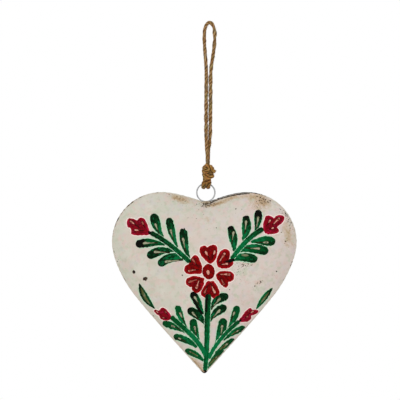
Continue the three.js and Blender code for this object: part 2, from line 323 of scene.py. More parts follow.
def fibreParts(roots, directions, bends, lengths, thickness, seed):
    # Many thin tubes at once: each starts at its root, leaves along its direction and bends away
    # by its own bend times the square of the way along it
    count, steps, sides = len(roots), fibre["steps"], fibre["sides"]
    s = np.linspace(0, 1, steps)[None, :, None]
    line = roots[:, None] + lengths[:, None, None] * (directions[:, None] * s + bends[:, None] * s**2)
    tangent = unit(np.gradient(line, axis=1))
    reference = unit(np.random.default_rng(seed).normal(size=(count, 1, 3)))
    side = unit(np.cross(tangent, np.broadcast_to(reference, tangent.shape)))
    other = np.cross(tangent, side)
    theta = (np.arange(sides) * 2 * np.pi / sides)[None, None, :, None]
    size = thickness * (1 - fibre["taper"] * s)[..., None]
    points = line[:, :, None] + size * (np.cos(theta) * side[:, :, None] + np.sin(theta) * other[:, :, None])
    quads = gridQuads(steps, sides)
    first = np.arange(sides)
    caps = np.array([first[::-1], first + (steps - 1) * sides])
    shift = (np.arange(count) * steps * sides)[:, None, None]
    lay = np.zeros((count, steps, sides, 3))
    lay[..., 2] = (np.arange(count) * fibre["apart"])[:, None, None]
    hollow = np.full((count * steps * sides, 1), fibre["hollow"])
    return {"points": points.reshape(-1, 3),
            "faces": [(quads[None] + shift).reshape(-1, 4), (caps[None] + shift).reshape(-1, sides)],
            "values": {"lay": lay.reshape(-1, 3), "hollow": hollow}}


def fuzzAlong(path, count, seed, longest=fibre["longest"], thickness=fibre["thickness"],
              radius=twine["radius"]):
    # Loose fibres that leave the twine's surface at a shallow angle, more along it than outwards
    draw = np.random.default_rng(seed)
    line = evenly(path, twine["step"])
    tangent = unit(np.gradient(line, axis=0))
    at = draw.integers(2, len(line) - 2, count)
    out = draw.normal(size=(count, 3))
    out = unit(out - tangent[at] * (out * tangent[at]).sum(1, keepdims=True))
    roots = line[at] + out * radius * fibre["root"]
    way = np.where(draw.random(count) < 0.5, 1.0, -1.0)[:, None]
    directions = unit(tangent[at] * way + out * draw.uniform(*fibre["leave"], (count, 1))
                      + fibre["stray"] * np.clip(draw.normal(size=(count, 3)), -1, 1))
    bends = fibre["bend"] * np.clip(draw.normal(size=(count, 3)), -fibre["bendMost"], fibre["bendMost"])
    lengths = draw.uniform(fibre["shortest"], 1, count) * longest
    return fibreParts(roots, directions, bends, lengths, thickness, seed)


def frayedEnd(path, count, seed, longest):
    # Fibres of a cut end: they start across the end face and splay out from its middle
    draw = np.random.default_rng(seed)
    heading = unit(path[-1] - path[-2])
    out = draw.normal(size=(count, 3))
    out = unit(out - heading * (out @ heading)[:, None])
    out = out * np.sqrt(draw.random((count, 1)))
    roots = path[-1] + out * twine["radius"] * fray["root"] - heading * fray["inside"]
    directions = unit(heading + out * fray["spread"] + fray["stray"] * draw.normal(size=(count, 3)))
    bends = fray["bend"] * draw.normal(size=(count, 3))
    lengths = draw.uniform(fray["shortest"], 1, count) * longest
    return fibreParts(roots, directions, bends, lengths, fray["thickness"], seed)


# Jute twine, spun and rubbed with use: dull brown plies, pale fibres on their crowns, and dark grooves that
# are painted shade between the plies
jute = {
    # dark is the colour of the painted shade in the grooves between the plies
    "dark": "#2C1504",
    "middle": "#9A6A2A",
    "red": "#9A582A",
    "olive": "#7C7038",
    "grey": "#5E5440",
    "pale": "#E0B66C",
    "tints": [("red", 0.4, 0.6), ("olive", 0.48, 0.64), ("grey", 0.56, 0.68)],  # noise at start and in full
    "tintMost": 0.8,
    "tintScale": 0.22,  # patches about 4 mm long
    "apart": 5.3,  # how far one tint's noise is from the next one's
    "crowns": (0.46, 0.74),  # fibre noise at which the pale tint starts and is full
    # grooves: groove depth less fibre noise at which the painted groove shade starts and is full
    "grooves": (-0.42, 0.3),
    "fibre": 0.22,  # width of a fibre bundle in mm
    "stretch": 0.16,  # its width over its length
    "roughness": 0.92,
    "gloss": 0.15,
    "sheen": 0.1,
    "sheenRoughness": 0.5,
    "relief": (0.5, 0.25),
}


def makeJute(name, changes):
    look = {**jute, **changes}
    material, tree = newMaterial(name)
    lay = addNode(tree, "ShaderNodeAttribute", {"attribute_name": "lay"}).outputs["Vector"]
    hollow = addNode(tree, "ShaderNodeAttribute", {"attribute_name": "hollow"}).outputs["Fac"]
    stretched = addNode(tree, "ShaderNodeMapping", None, {0: lay, 3: (1, 1, look["stretch"])}).outputs[0]
    fibres = addNode(tree, "ShaderNodeTexNoise", None,
                     {0: stretched, "Scale": 0.5 / look["fibre"], "Detail": 3.0, "Roughness": 0.7}).outputs[0]
    # Painted shade: the colour darkens where the grooves between the plies are deep
    paintedGrooveShade = addNode(tree, "ShaderNodeMath", {"operation": "SUBTRACT"}, {0: hollow, 1: fibres}).outputs[0]
    layers = []
    for n, (tint, *levels) in enumerate(look["tints"]):
        slow = addNode(tree, "ShaderNodeTexNoise", {"noise_dimensions": "4D"},
                       {0: lay, "W": look["apart"] * n, "Scale": look["tintScale"], "Detail": 4.0}).outputs[0]
        layers.append((slow, look[tint], *levels, look["tintMost"]))
    layers.append((fibres, look["pale"], *look["crowns"], 1.0))
    layers.append((paintedGrooveShade, look["dark"], *look["grooves"], 1.0))
    colour, _ = layered(tree, linearColour(look["middle"]), layers)
    surfaced(tree, colour, fibres, look["relief"],
             {"Roughness": look["roughness"], "Specular IOR Level": look["gloss"],
              "Sheen Weight": look["sheen"], "Sheen Roughness": look["sheenRoughness"]})
    return material


# In each copy, dark is the colour of the painted shade in the grooves
rubbedJute = makeJute("rubbedJuteTwine", {"middle": "#8E6A3A", "red": "#8A5A2E", "pale": "#DCBB8C",
                                          "dark": "#4A2C0E"})
knottedJute = makeJute("knottedJuteTwine", {})
pressedJute = makeJute("pressedJuteTwine", {"middle": "#86602C", "red": "#84481E", "pale": "#C4965A"})

# The loop: up one strand, over the nail's place and down the other, into the knot
loopSize = {
    "ends": -90.5,  # height at which both strands enter the knot
    "length": 0.186,
    "fuzz": (420, 4),  # the loose fibres' count and seed
    "tangle": (340, 2, 2.4, 0.1, 0.5),  # between the strands, with the longest, thickness and spread
}
loopPoints = [
    (-1.3, -1.425, -90.5), (-1.35, -1.425, -88.2), (-1.8, -1.3, -81), (-2.2, -0.8, -73),
    (-2.3, -0.1, -64), (-2.3, -0.05, -53), (-2.2, 0, -40), (-2.15, 0, -29), (-2.8, 0, -20),
    (-3.3, 0, -12), (-3.4, 0, -7), (-3.1, 0, -3.6), (-1.9, 0, -0.2), (0, 0, 1.15),
    (1.9, 0, -0.2), (3.1, 0, -3.6), (3.4, 0, -7), (3.25, 0, -12), (2.3, 0, -20), (1, 0, -29),
    (0.75, 0, -40), (0.72, 0.05, -53), (0.6, 0.1, -64), (0.35, 0.8, -73), (-0.55, 1.3, -81),
    (-0.95, 1.425, -88.2), (-1, 1.425, -90.5),
]
loopLine = throughPoints(loopPoints, perSpan=24)
between = throughPoints([
    (-0.7, 0.1, -33), (-0.75, 0, -40), (-0.8, 0, -53), (-0.85, 0, -64), (-0.9, 0, -76),
], perSpan=24)
loop = buildPiece("twine_loop", [
    twinePart(loopLine, (0, 1, 0), seed=3),
    fuzzAlong(loopLine, *loopSize["fuzz"]),
    fuzzAlong(between, *loopSize["tangle"]),
], rubbedJute)
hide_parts("cord_loop")
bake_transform(loop)
print("twine loop spun")

# Knot: a close winding, two strands that cross its front, and four cut ends
knot = {
    "x": -1.0,
    "across": 3.05,
    "deep": 3.2,
    "turns": 3.5,
    "pitch": 2.05,
    "top": -92.5,
    "neck": 0.14,  # the first turn is this much smaller
    "neckTo": 0.8,
    "waist": 0.72,  # size of the last turn
    "waistFrom": 0.6,
    "bulge": 0.06,
    "bulgeLength": 7,
    "bulgeSeed": 22,
    "wander": 0.3,
    "wanderLength": 8,
    "wanderSeed": 21,
    "tilt": 0.16,  # the right side of each turn sits higher
    "topTail": 1.2,
    "footTail": 3.6,
    "flare": 0.3,
    "lay": 6.0,  # the plies are drawn together here
    "steps": 500,
}


def windingLine():
    # Oval helix: x and y go round an ellipse, z falls by one pitch a turn and rises with x, and
    # both ends run out to the right
    turnLength = math.pi * (knot["across"] + knot["deep"])
    length = knot["turns"] * turnLength + knot["topTail"] + knot["footTail"]
    along = np.linspace(0, length, knot["steps"])
    wound = np.clip((along - knot["topTail"]) / turnLength, 0, knot["turns"])
    free = np.maximum(np.maximum(knot["topTail"] - along, along - (length - knot["footTail"])), 0)
    angle = math.pi / 2 + wound * 2 * np.pi
    bulge = 1 + knot["bulge"] * ripple(along[:, None], knot["bulgeLength"], knot["bulgeSeed"])
    bulge = bulge - knot["neck"] * (1 - smooth(wound, 0, knot["neckTo"]))
    narrowing = 1 - (1 - knot["waist"]) * smooth(wound / knot["turns"], knot["waistFrom"], 1.0)
    line = np.stack([
        knot["across"] * bulge * narrowing * np.cos(angle) + free,
        knot["deep"] * bulge * np.sin(angle) + np.sin(angle) * knot["flare"] * free,
        knot["top"] - wound * knot["pitch"],
    ], 1)
    wander = knot["wander"] * ripple(along[:, None], knot["wanderLength"], knot["wanderSeed"])
    line[:, 2] += knot["tilt"] * line[:, 0] + wander
    return line + (knot["x"], 0, 0)


winding = windingLine()
crossing = throughPoints([
    (-2.6, 0.6, -93.6), (-2.3, -2.2, -91.9), (-1.2, -4.1, -91.9), (0.6, -4.8, -93.2),
    (2.2, -4.6, -95.0), (3.5, -3.9, -95.9),
], perSpan=20)
overlap = throughPoints([
    (-3.6, -0.6, -98.4), (-3.3, -3.0, -97.4), (-1.6, -4.5, -95.9), (0.0, -4.7, -94.2), (0.8, -4.0, -92.9),
    (1.1, -3.0, -92.2),
], perSpan=20)
knotStrands = [  # line, a direction across it, seed, radius, and its fibres' count, seed and longest
    (winding, (0, 0, 1), 6, 1.12, 150, 8, 1.7),
    (crossing, (1, 0.4, 1), 7, 1.2, 40, 9, 1.6),
    (overlap, (1, 0.4, 1), 5, 1.0, 40, 19, 1.6),
]
cutEnds = [  # line, and its fibres' count, seed and longest
    (winding, 46, 10, 1.0), (winding[::-1], 46, 11, 1.0), (crossing, 60, 12, 1.1), (overlap, 40, 18, 0.9),
]
knotParts = [twinePart(line, across, seed, radius, 0.0, knot["lay"])
             for line, across, seed, radius, *_ in knotStrands]
knotParts += [fuzzAlong(strand[0], *strand[4:]) for strand in knotStrands]
knotParts += [frayedEnd(*end) for end in cutEnds]
for (x, back, _), seed in ((loopPoints[0], 12), (loopPoints[-1], 14)):
    # The loop's strands go on down inside the winding
    stub = throughPoints([(x, back, -90.0), (x, back * 0.9, -92.5), (-1.2, back * 0.8, -96)], perSpan=12)
    knotParts.append(twinePart(stub, (1, 0, 0), seed))
knotPiece = buildPiece("twine_knot", knotParts, knottedJute)
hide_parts("cord_core", "cord_knot")
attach(knotPiece, "knot")

# Two turns under the ring's wire. Their front strands come out of the knot's foot side by side, and
# their back strands close the gap between them
turns = {
    "axisX": -2.4,
    "spacing": 3.0,
    "wireZ": -103.5,
    "wireDrop": 0.222,
    "wrapRadius": 2.05,
    "topZ": -101.7,
    "radii": (1.42, 1.58),  # left and right, pressed flat and wide on the wire
    "backShift": (0.9, 1.0, 0.8, 0.3),  # how far each point of the back strand is moved to the middle
    "lay": 8.0,
    "bendSteps": 7,
    "fibres": (40, 1.5),  # count and longest
}


def turnLine(side):
    # A half circle round the wire with a strand up to the knot at each end
    away = side * turns["spacing"] / 2
    topX, wireX = (knot["x"] + turns["axisX"]) / 2 + away, turns["axisX"] + away
    angle = np.pi + np.linspace(0, 1, turns["bendSteps"]) * np.pi
    middle = turns["wireZ"] - turns["wireDrop"]
    bend = np.stack([np.full(turns["bendSteps"], wireX), turns["wrapRadius"] * np.cos(angle),
                     middle + turns["wrapRadius"] * np.sin(angle)], 1)
    neck = np.array([(knot["x"] + away * 0.55, 1.3, -97.5), (topX - away * 0.33, 1.5, -100.2),
                     (topX - away * 0.2, 1.6, turns["topZ"]), ((topX + wireX) / 2, 1.85, -103.0)])
    back = neck - np.array(turns["backShift"])[:, None] * (side, 0, 0)
    return throughPoints(np.vstack([neck * (1, -1, 1), bend, back[::-1]]), perSpan=14)


turnParts = []
for side, seed, radius in ((-1, 15, turns["radii"][0]), (1, 17, turns["radii"][1])):
    line, (count, longest) = turnLine(side), turns["fibres"]
    turnParts += [twinePart(line, (1, 0, 0), seed, radius, side, turns["lay"]),
                  fuzzAlong(line, count, seed + 1, longest)]
turnPiece = buildPiece("twine_turns", turnParts, pressedJute)
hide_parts("cord_turn_left", "cord_turn_right")
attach(turnPiece, "knot")
print("knot tied and turns laid round the ring")


# Heart: two pressed shells. Local points have x from the centre line and height above the notch.
heart = {
    "axisX": -2.4,
    "notchZ": -116.04,
    "halfWidth": 59.9,
    "lobeRise": 6.9,
    "lobeCentre": 27.5,
    "widestDrop": 25.5,
    "flank": (46.65, -58.0),
    "flankLean": 37.0,  # degrees from upright
    "tipDrop": 110.6,
    "tipRound": 1.7,
    "notchOffset": 1.0,  # the hand-cut notch sits this far right of the middle
    "notchReach": 14.0,
    "halfDepth": 13.0,
    "fullness": 1.6,
    "paintRoom": 0.25,  # the crown stays this far inside the full depth, for the dents and the paint
    "rimHalf": 0.42,  # half of the gap between the shells at the rim, filled by the seam
    "rimInset": 0.3,  # the shells' rim lies this far inside the outline
    "sheet": 0.5,
    "crown": (-1.0, -42.2),
    "spans": (200, 300, 200, 300, 20),  # points on each curve of the outline
    "columns": 520,
    "rings": 112,
    "ringCrowding": 1.35,  # above 1, rings are closer together near the rim
    "innerRings": 12,
    "innerMiddle": 0.06,  # size of the inner wall's last ring
    "dents": 0.16,  # height of the hand-beaten unevenness
    "dentSize": 17.0,
    "dentWaves": 14,
    "dentSeed": 40,
    "dentRise": (0.02, 0.3),  # shares of the crown's reach between which the dents come in
}


def bezier(points, count):  # cubic Bezier curve without its last point
    p0, p1, p2, p3 = (np.array(p, float)[None] for p in points)
    t = np.linspace(0, 1, count, endpoint=False)[:, None]
    return (1 - t)**3 * p0 + 3 * (1 - t)**2 * t * p1 + 3 * (1 - t) * t**2 * p2 + t**3 * p3


def heartOutline():
    # Five cubic curves from the notch over the right lobe to the tip, and their mirror image. The
    # two points in the middle of each curve pull it into shape.
    half, rise, centre, drop = heart["halfWidth"], heart["lobeRise"], heart["lobeCentre"], heart["widestDrop"]
    flank, lean = np.array(heart["flank"]), math.radians(heart["flankLean"])
    down = np.array([-math.sin(lean), -math.cos(lean)])
    tip, blunt = -heart["tipDrop"], heart["tipRound"]
    corner = (blunt, tip + blunt * 0.6)
    curves = [
        [(0, 0), (centre * 0.19, rise * 0.29), (centre * 0.66, rise), (centre, rise)],
        [(centre, rise), (centre + (half - centre) * 0.57, rise), (half, rise - (drop + rise) * 0.46),
         (half, -drop)],
        [(half, -drop), (half, -drop + (flank[1] + drop) * 0.34), flank - 9 * down, flank],
        [flank, flank + 17 * down, (blunt + 14.4, tip + 17.2), corner],
        [corner, (blunt * 0.85, tip + blunt * 0.25), (blunt * 0.4, tip), (0, tip)],
    ]
    right = np.vstack([bezier(*curve) for curve in zip(curves, heart["spans"])] + [[(0, tip)]])
    along = lengthsAlong(right)
    places = np.linspace(0, along[-1], heart["columns"] // 2 + 1)
    right = np.stack([np.interp(places, along, right[:, n]) for n in (0, 1)], 1)
    whole = np.vstack([right, right[1:-1][::-1] * (-1, 1)])
    # All but the notch then moves left by the offset, in full from one reach away
    away = np.linalg.norm(whole, axis=1) / heart["notchReach"]
    whole[:, 0] -= heart["notchOffset"] * (1 - np.exp(-away**2))
    return whole


def inset(line, distance):  # a closed line moved towards its inside, square to its neighbours' chord
    chord = unit(np.roll(line, -1, 0) - np.roll(line, 1, 0))
    return line + np.stack([chord[:, 1], -chord[:, 0]], 1) * distance


outline = heartOutline()
rim = inset(outline, heart["rimInset"])
fromTip = np.abs(np.arange(heart["columns"]) - heart["columns"] // 2)
coarseRim = rim[(np.arange(heart["columns"]) % 4 == 0) | (fromTip < 30)]  # every point round the tip


def reach(points, block=8000):
    # Harmonic mean of the distances from each point to the rim in every direction, a block of
    # points at a time
    result = np.empty(len(points))
    for start in range(0, len(points), block):
        rays = coarseRim[None] - points[start:start + block, None]
        after = np.roll(rays, -1, 1)
        near, far = np.linalg.norm(rays, axis=2), np.linalg.norm(after, axis=2)
        cross = rays[..., 0] * after[..., 1] - rays[..., 1] * after[..., 0]
        tangent = -cross / np.maximum(near * far + (rays * after).sum(2), 1e-9)
        shares = (1 / np.maximum(near, 1e-6) + 1 / np.maximum(far, 1e-6)) * tangent
        result[start:start + block] = 1 / np.maximum(shares.sum(1), 1e-6)
    return result


crownReach = reach(np.array([heart["crown"]]))[0]


def depthOf(points, side):
    # The dome rises from the rim as 1 - (1 - t) to the power of the fullness, where t is the reach
    # as a share of the crown's. Beaten dents are added, and fade out at the rim.
    flat = points.reshape(-1, 2)
    t = np.clip(reach(flat) / crownReach, 0, 1)
    height = heart["halfDepth"] - heart["paintRoom"] - heart["rimHalf"]
    rise = heart["rimHalf"] + height * (1 - (1 - t)**heart["fullness"])
    dents = heart["dents"] * ripple(flat, heart["dentSize"], heart["dentSeed"] + side, heart["dentWaves"])
    return (side * (rise + dents * smooth(t, *heart["dentRise"]))).reshape(points.shape[:-1])


def toRow(points, depth):  # heart-local points and their depth as points of the row frame
    return np.stack([points[..., 0] + heart["axisX"], depth, points[..., 1] + heart["notchZ"]], -1)


def toPicture(points):  # pixels of the picture at which points of the row frame are seen
    away = (viewDistance + points[..., 1:2]) / viewDistance
    middle = np.array(view["centre"])
    offset = (points[..., [0, 2]] - middle) / away / pixel
    return view["pixels"] / 2 + offset * (1, -1)


def fromPicture(pixels):
    # Heart-local points of the front shell that pixels of the picture look at: the pixel's line
    # of sight is followed to the dome by a few rounds of stepping to the dome's own depth
    middle = np.array(view["centre"])
    flat = middle + (np.asarray(pixels, float) - view["pixels"] / 2) * (1, -1) * pixel
    corner = np.array([heart["axisX"], heart["notchZ"]])
    local = flat - corner
    for _ in range(3):
        depth = depthOf(local, -1)[..., None]
        local = middle + (flat - middle) * (viewDistance + depth) / viewDistance - corner
    return local


# Stains on the front paint, in pixels of the picture: x, y, half length, half width, turn in
# degrees and amount
frontStains = [
    (181, 199.0, 13, 4.8, 14, 0.35), (176.5, 198.2, 7.5, 3.2, 22, 0.6), (187, 201, 9, 3, 18, 0.4),
    (207, 205.2, 8, 2.0, -6, 0.5),
    (208, 219, 6, 5, 0, 0.5), (215, 204.5, 7, 2.4, -16, 0.8), (226, 200.2, 9, 2.6, -20, 0.8),
    (242, 196.6, 14, 2.2, -4, 0.6), (260, 199.5, 10, 5, 18, 0.75), (265, 203.5, 7, 5, 30, 0.5),
    (256, 207.5, 9, 4.2, 35, 0.55), (287, 227, 5.5, 13, -16, 0.6), (288, 241, 5, 9, -5, 0.55),
    (247, 264, 8, 4, 5, 0.5), (258, 283, 6, 3, -35, 0.45), (241, 300, 6, 5, 0, 0.42),
    (214, 364, 7, 2.0, -48, 0.8), (196, 363.5, 8, 3.4, 48, 0.75), (135, 214, 5, 3, -30, 0.18),
    (157, 271, 5, 4, 0, 0.16), (201, 199.5, 9, 2.4, 10, 0.3), (247, 355, 3, 30, 42, 0.35),
    (165, 330, 3, 28, -42, 0.3), (205, 371, 5, 4, 0, 0.4), (204.6, 373.4, 2.6, 1.1, 0, 2.5),
    (276, 255, 6, 10, 0, 0.15),
]
frontSpecks = [
    (177, 198, 12, 4, 12, 0.7), (207, 205.2, 9, 2.2, -4, 0.8), (211, 204, 8, 2, -10, 0.7),
    (232, 196.5, 16, 1.5, -12, 0.4),
    (261, 198.0, 8, 2.4, 20, 0.8), (268, 202, 6, 2.6, 30, 0.8), (258, 206, 6, 4, 10, 0.7),
    (285, 213, 6, 4, 50, 1.0), (289.5, 223, 3.5, 8, -20, 1.0), (286, 241, 4, 8, 0, 0.7),
    (246, 264, 10, 4, 0, 0.95), (259, 283, 6, 3, -35, 1.0), (240, 274, 9, 9, 0, 0.6),
    (178, 207, 20, 8, 0, 0.25), (203, 215, 16, 10, 0, 0.25), (113.5, 253, 1.6, 5, 0, 0.8),
    (118, 259, 2, 3, 0, 0.5), (216, 363, 7, 1.2, -48, 0.8), (150, 315, 4, 1.2, 42, 0.5),
    (182, 262, 6, 4, 0, 0.25), (240, 209, 12, 5, 0, 0.2), (270, 240, 8, 12, 0, 0.2),
    (192, 366, 6, 1.2, 48, 0.5), (161, 268, 9, 5, 0, 0.25),
]
backStains = [
    (150, 205, 14, 5, -10, 0.6), (250, 203, 18, 5, 10, 0.7), (282, 245, 5, 18, 0, 0.5),
    (205, 340, 16, 6, 60, 0.45), (180, 270, 14, 9, 20, 0.3), (235, 300, 12, 7, -40, 0.35),
    (125, 250, 5, 16, 10, 0.4), (205, 368, 6, 5, 0, 0.6),
]
backSpecks = [
    (170, 212, 20, 9, 0, 0.5), (245, 210, 20, 8, 0, 0.6), (285, 235, 6, 12, 0, 0.6),
    (200, 300, 26, 22, 0, 0.3), (160, 300, 5, 12, -40, 0.5), (215, 362, 8, 3, -45, 0.8),
]


def softPatches(pixels, rows, fall=0.8):  # sum of soft ellipses, nearly gone at twice their size
    total = np.zeros(pixels.shape[:-1])
    for x, y, long, short, turn, amount in rows:
        c, s = math.cos(math.radians(turn)), math.sin(math.radians(turn))
        dx, dy = pixels[..., 0] - x, pixels[..., 1] - y
        square = ((dx * c + dy * s) / long) ** 2 + ((dy * c - dx * s) / short) ** 2
        total += amount * np.exp(-fall * square)
    return total


# Wear that follows the heart's shape, in pixels of the picture
wear = {
    "rimReach": 14,  # the rim's wear is gone at a 14th of the crown's reach
    "rimStain": 0.22,
    "rimSpecks": 0.25,
    "tipRows": (335, 376),  # the tip's stain comes in between these rows
    "tipStain": 0.25,
    "warmRun": (215, 310),  # the paint turns warmer to the right and down
    "warmSlant": 0.25,
    "warmWander": 14,
    "warmSize": 70,
    "warmSeed": 50,
}


def shellPiece(name, side, stains, specks, material):
    # Rings of the rim shrunk towards the crown, closer together near the rim, laid on the dome.
    # The same rings one sheet further in make the inner wall.
    q = (np.arange(1, heart["rings"] + 1) / heart["rings"])[:, None, None]
    share = 1 - (1 - q) ** heart["ringCrowding"]
    crown = np.array(heart["crown"])
    flat = crown + (rim[None] - crown) * share
    outer = toRow(flat, depthOf(flat, side))
    outer[-1, :, 1] = side * heart["rimHalf"]
    innerRim = inset(rim, heart["sheet"])
    shares = np.linspace(1, heart["innerMiddle"], heart["innerRings"])[:, None, None]
    innerFlat = crown + (innerRim[None] - crown) * shares
    innerDepth = side * np.maximum(np.abs(depthOf(innerFlat, side)) - heart["sheet"], heart["rimHalf"])
    rings = np.concatenate([outer, toRow(innerFlat, innerDepth)])
    pixels = toPicture(rings * (1, -side, 1))
    depthIn = reach(np.concatenate([flat, innerFlat]).reshape(-1, 2)) / crownReach
    edge = np.clip(1 - depthIn * wear["rimReach"], 0, 1).reshape(rings.shape[:2])
    tip = wear["tipStain"] * smooth(pixels[..., 1], *wear["tipRows"])
    slanted = pixels[..., 0] + wear["warmSlant"] * pixels[..., 1]
    slanted = slanted + wear["warmWander"] * ripple(pixels, wear["warmSize"], wear["warmSeed"] + side)
    age = np.stack([
        softPatches(pixels, stains) + wear["rimStain"] * edge + tip,
        softPatches(pixels, specks) + wear["rimSpecks"] * edge,
        smooth(slanted, *wear["warmRun"]),
    ], -1)
    top = toRow(crown, depthOf(crown[None], side)[0])
    part = closedSkin(rings, top, top - (0, side * heart["sheet"], 0), age=age)
    piece = buildPiece(name, [part], material)
    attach(piece, "heart")
    return piece


# Oil enamel brushed on pressed sheet iron and aged: eggshell gloss, cream that has yellowed
# unevenly with pinkish and greenish blushes, tan bloom through thin places and fine dark pits
creamEnamel = {
    "cool": "#D0CEBF",
    "warm": "#DACDC5",
    "cloud": "#DCD6CA",
    "blush": "#DCC2B9",
    "olive": "#BFC6AE",
    "lilac": "#CFC6CC",
    "grime": "#A39C86",
    "tan": "#BDA27C",
    "brown": "#84603C",
    "pit": "#3F342A",
    "apart": 3.1,  # how far one tint's noise is from the next one's
    "tints": [  # tint, patch size in mm, noise levels at which it starts and is full, most of it
        ("cloud", 14.0, 0.42, 0.75, 0.9), ("blush", 3.4, 0.48, 0.68, 0.7), ("olive", 3.0, 0.48, 0.68, 0.65),
        ("blush", 9.0, 0.5, 0.68, 0.4), ("lilac", 5.0, 0.5, 0.7, 0.4), ("grime", 2.2, 0.52, 0.78, 0.25),
    ],
    "stainSize": 1.7,  # mm
    "stainShare": 0.62,
    "stainSteps": [("tan", 0.6, 1.2, 0.9), ("brown", 0.98, 1.4, 0.75)],
    "pitSize": 0.85,
    "pitShare": 0.2,
    "pitSteps": (0.735, 0.8, 0.8),
    "brushWidth": 0.9,
    "brushStretch": 0.12,  # a stroke's width as a share of its length
    "brushTurn": 24,  # degrees
    "roughness": (0.42, 0.6),  # clean and stained
    "roughnessFrom": (0.3, 1.1),
    "gloss": 0.3,
    "relief": (0.3, 0.2),
}


def makeCream(name, changes):
    look = {**creamEnamel, **changes}
    material, tree = newMaterial(name)
    place = addNode(tree, "ShaderNodeTexCoord").outputs["Object"]
    age = addNode(tree, "ShaderNodeAttribute", {"attribute_name": "age"}).outputs["Vector"]
    stain, specks, warmth = addNode(tree, "ShaderNodeSeparateXYZ", None, {0: age}).outputs
    base = addNode(tree, "ShaderNodeMix", {"data_type": "RGBA"},
                   {0: warmth, 6: linearColour(look["cool"]), 7: linearColour(look["warm"])}).outputs[2]
    layers = []
    for n, (tint, size, *levels) in enumerate(look["tints"]):
        patches = addNode(tree, "ShaderNodeTexNoise", {"noise_dimensions": "4D"},
                          {0: place, "W": look["apart"] * n, "Scale": 1000 / size, "Detail": 3.0}).outputs[0]
        layers.append((patches, look[tint], *levels))
    bloom = addNode(tree, "ShaderNodeTexNoise", None,
                    {0: place, "Scale": 1000 / look["stainSize"], "Detail": 4.0,
                     "Roughness": 0.65}).outputs[0]
    stained = addNode(tree, "ShaderNodeMath", {"operation": "MULTIPLY_ADD"},
                      {0: stain, 1: look["stainShare"], 2: bloom}).outputs[0]
    layers += [(stained, look[tint], *levels) for tint, *levels in look["stainSteps"]]
    grit = addNode(tree, "ShaderNodeTexNoise", None,
                   {0: place, "Scale": 1000 / look["pitSize"], "Detail": 2.0}).outputs[0]
    pitted = addNode(tree, "ShaderNodeMath", {"operation": "MULTIPLY_ADD"},
                     {0: specks, 1: look["pitShare"], 2: grit}).outputs[0]
    layers.append((pitted, look["pit"], *look["pitSteps"]))
    colour, pits = layered(tree, base, layers)
    drawn = addNode(tree, "ShaderNodeMapping", None,
                    {0: place, 2: (0, math.radians(look["brushTurn"]), 0),
                     3: (look["brushStretch"], 1, 1)}).outputs[0]
    strokes = addNode(tree, "ShaderNodeTexNoise", None,
                      {0: drawn, "Scale": 1000 / look["brushWidth"], "Detail": 2.0}).outputs[0]
    relief = addNode(tree, "ShaderNodeMath", {"operation": "SUBTRACT"}, {0: strokes, 1: pits}).outputs[0]
    low, high = look["roughnessFrom"]
    clean, dirty = look["roughness"]
    dull = addNode(tree, "ShaderNodeMapRange", None,
                   {0: stained, 1: low, 2: high, 3: clean, 4: dirty}).outputs[0]
    surfaced(tree, colour, relief, look["relief"], {"Roughness": dull, "Specular IOR Level": look["gloss"]})
    return material


frontCream = makeCream("agedCreamEnamelFront", {})
backCream = makeCream("agedCreamEnamelBack", {"cool": "#C9C4B2", "warm": "#CFC3B6", "brushWidth": 1.3})
frontShell = shellPiece("front_shell_painted", -1, frontStains, frontSpecks, frontCream)
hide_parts("front_shell")
backShell = shellPiece("back_shell_painted", 1, backStains, backSpecks, backCream)
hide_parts("back_shell")
print("shells pressed and painted")


# Seam: the solder bead that closes the rim, painted over except along the top of the right lobe
seam = {
    "radius": 0.62,
    "inset": 0.5,
    "gap": 2.4,  # stops this far from the notch, where the ring's foot is
    "spacing": 0.75,  # mm from point to point
    "sides": 12,
    "bareFrom": (2.2, 2.8),  # the paint ends between these distances from the middle
    "bareTo": (27.4, 41.4),
    "bareAbove": -14,
    "raggedness": 1.5,  # how far the ends of the bare stretch wander
    "raggedLength": 6,
    "proud": 0.06,  # the bare stretch stands this much further out
    "touches": 0.16,  # places where the paint is thin
    "touchLength": 15,
    "leftTouch": 0.2,  # the same on the left lobe's shoulder
    "leftCorner": (-40, -22),  # it lies left of this place and above it
    "tipReach": (1.1, 1.6),  # bare round the tip
    "unevenness": 0.12,
    "unevenLength": 4,
    "thinner": 0.2,  # the bare stretch is this much thinner
    "seed": 61,
}
bareSolder = {"paint": "#CFC8BA", "bare": "#0E0B0A", "brown": "#5C432E", "grainScale": 700.0,
              "brownSteps": (0.58, 0.95), "bareSteps": (0.9, 1.1), "roughness": 0.7, "gloss": 0.08,
              "relief": (0.4, 0.2)}


def makeSeamMaterial():  # lead solder under enamel, bare and dark with age where the paint has gone
    material, tree = newMaterial("solderedRimSeam")
    place = addNode(tree, "ShaderNodeTexCoord").outputs["Object"]
    bare = addNode(tree, "ShaderNodeAttribute", {"attribute_name": "bare"}).outputs["Fac"]
    grain = addNode(tree, "ShaderNodeTexNoise", None,
                    {0: place, "Scale": bareSolder["grainScale"], "Detail": 3.0}).outputs[0]
    level = addNode(tree, "ShaderNodeMath", {"operation": "ADD"}, {0: bare, 1: grain}).outputs[0]
    colour, _ = layered(tree, linearColour(bareSolder["paint"]), [
        (level, bareSolder["brown"], *bareSolder["brownSteps"], 1.0),
        (level, bareSolder["bare"], *bareSolder["bareSteps"], 1.0),
    ])
    surfaced(tree, colour, grain, bareSolder["relief"],
             {"Roughness": bareSolder["roughness"], "Specular IOR Level": bareSolder["gloss"]})
    return material


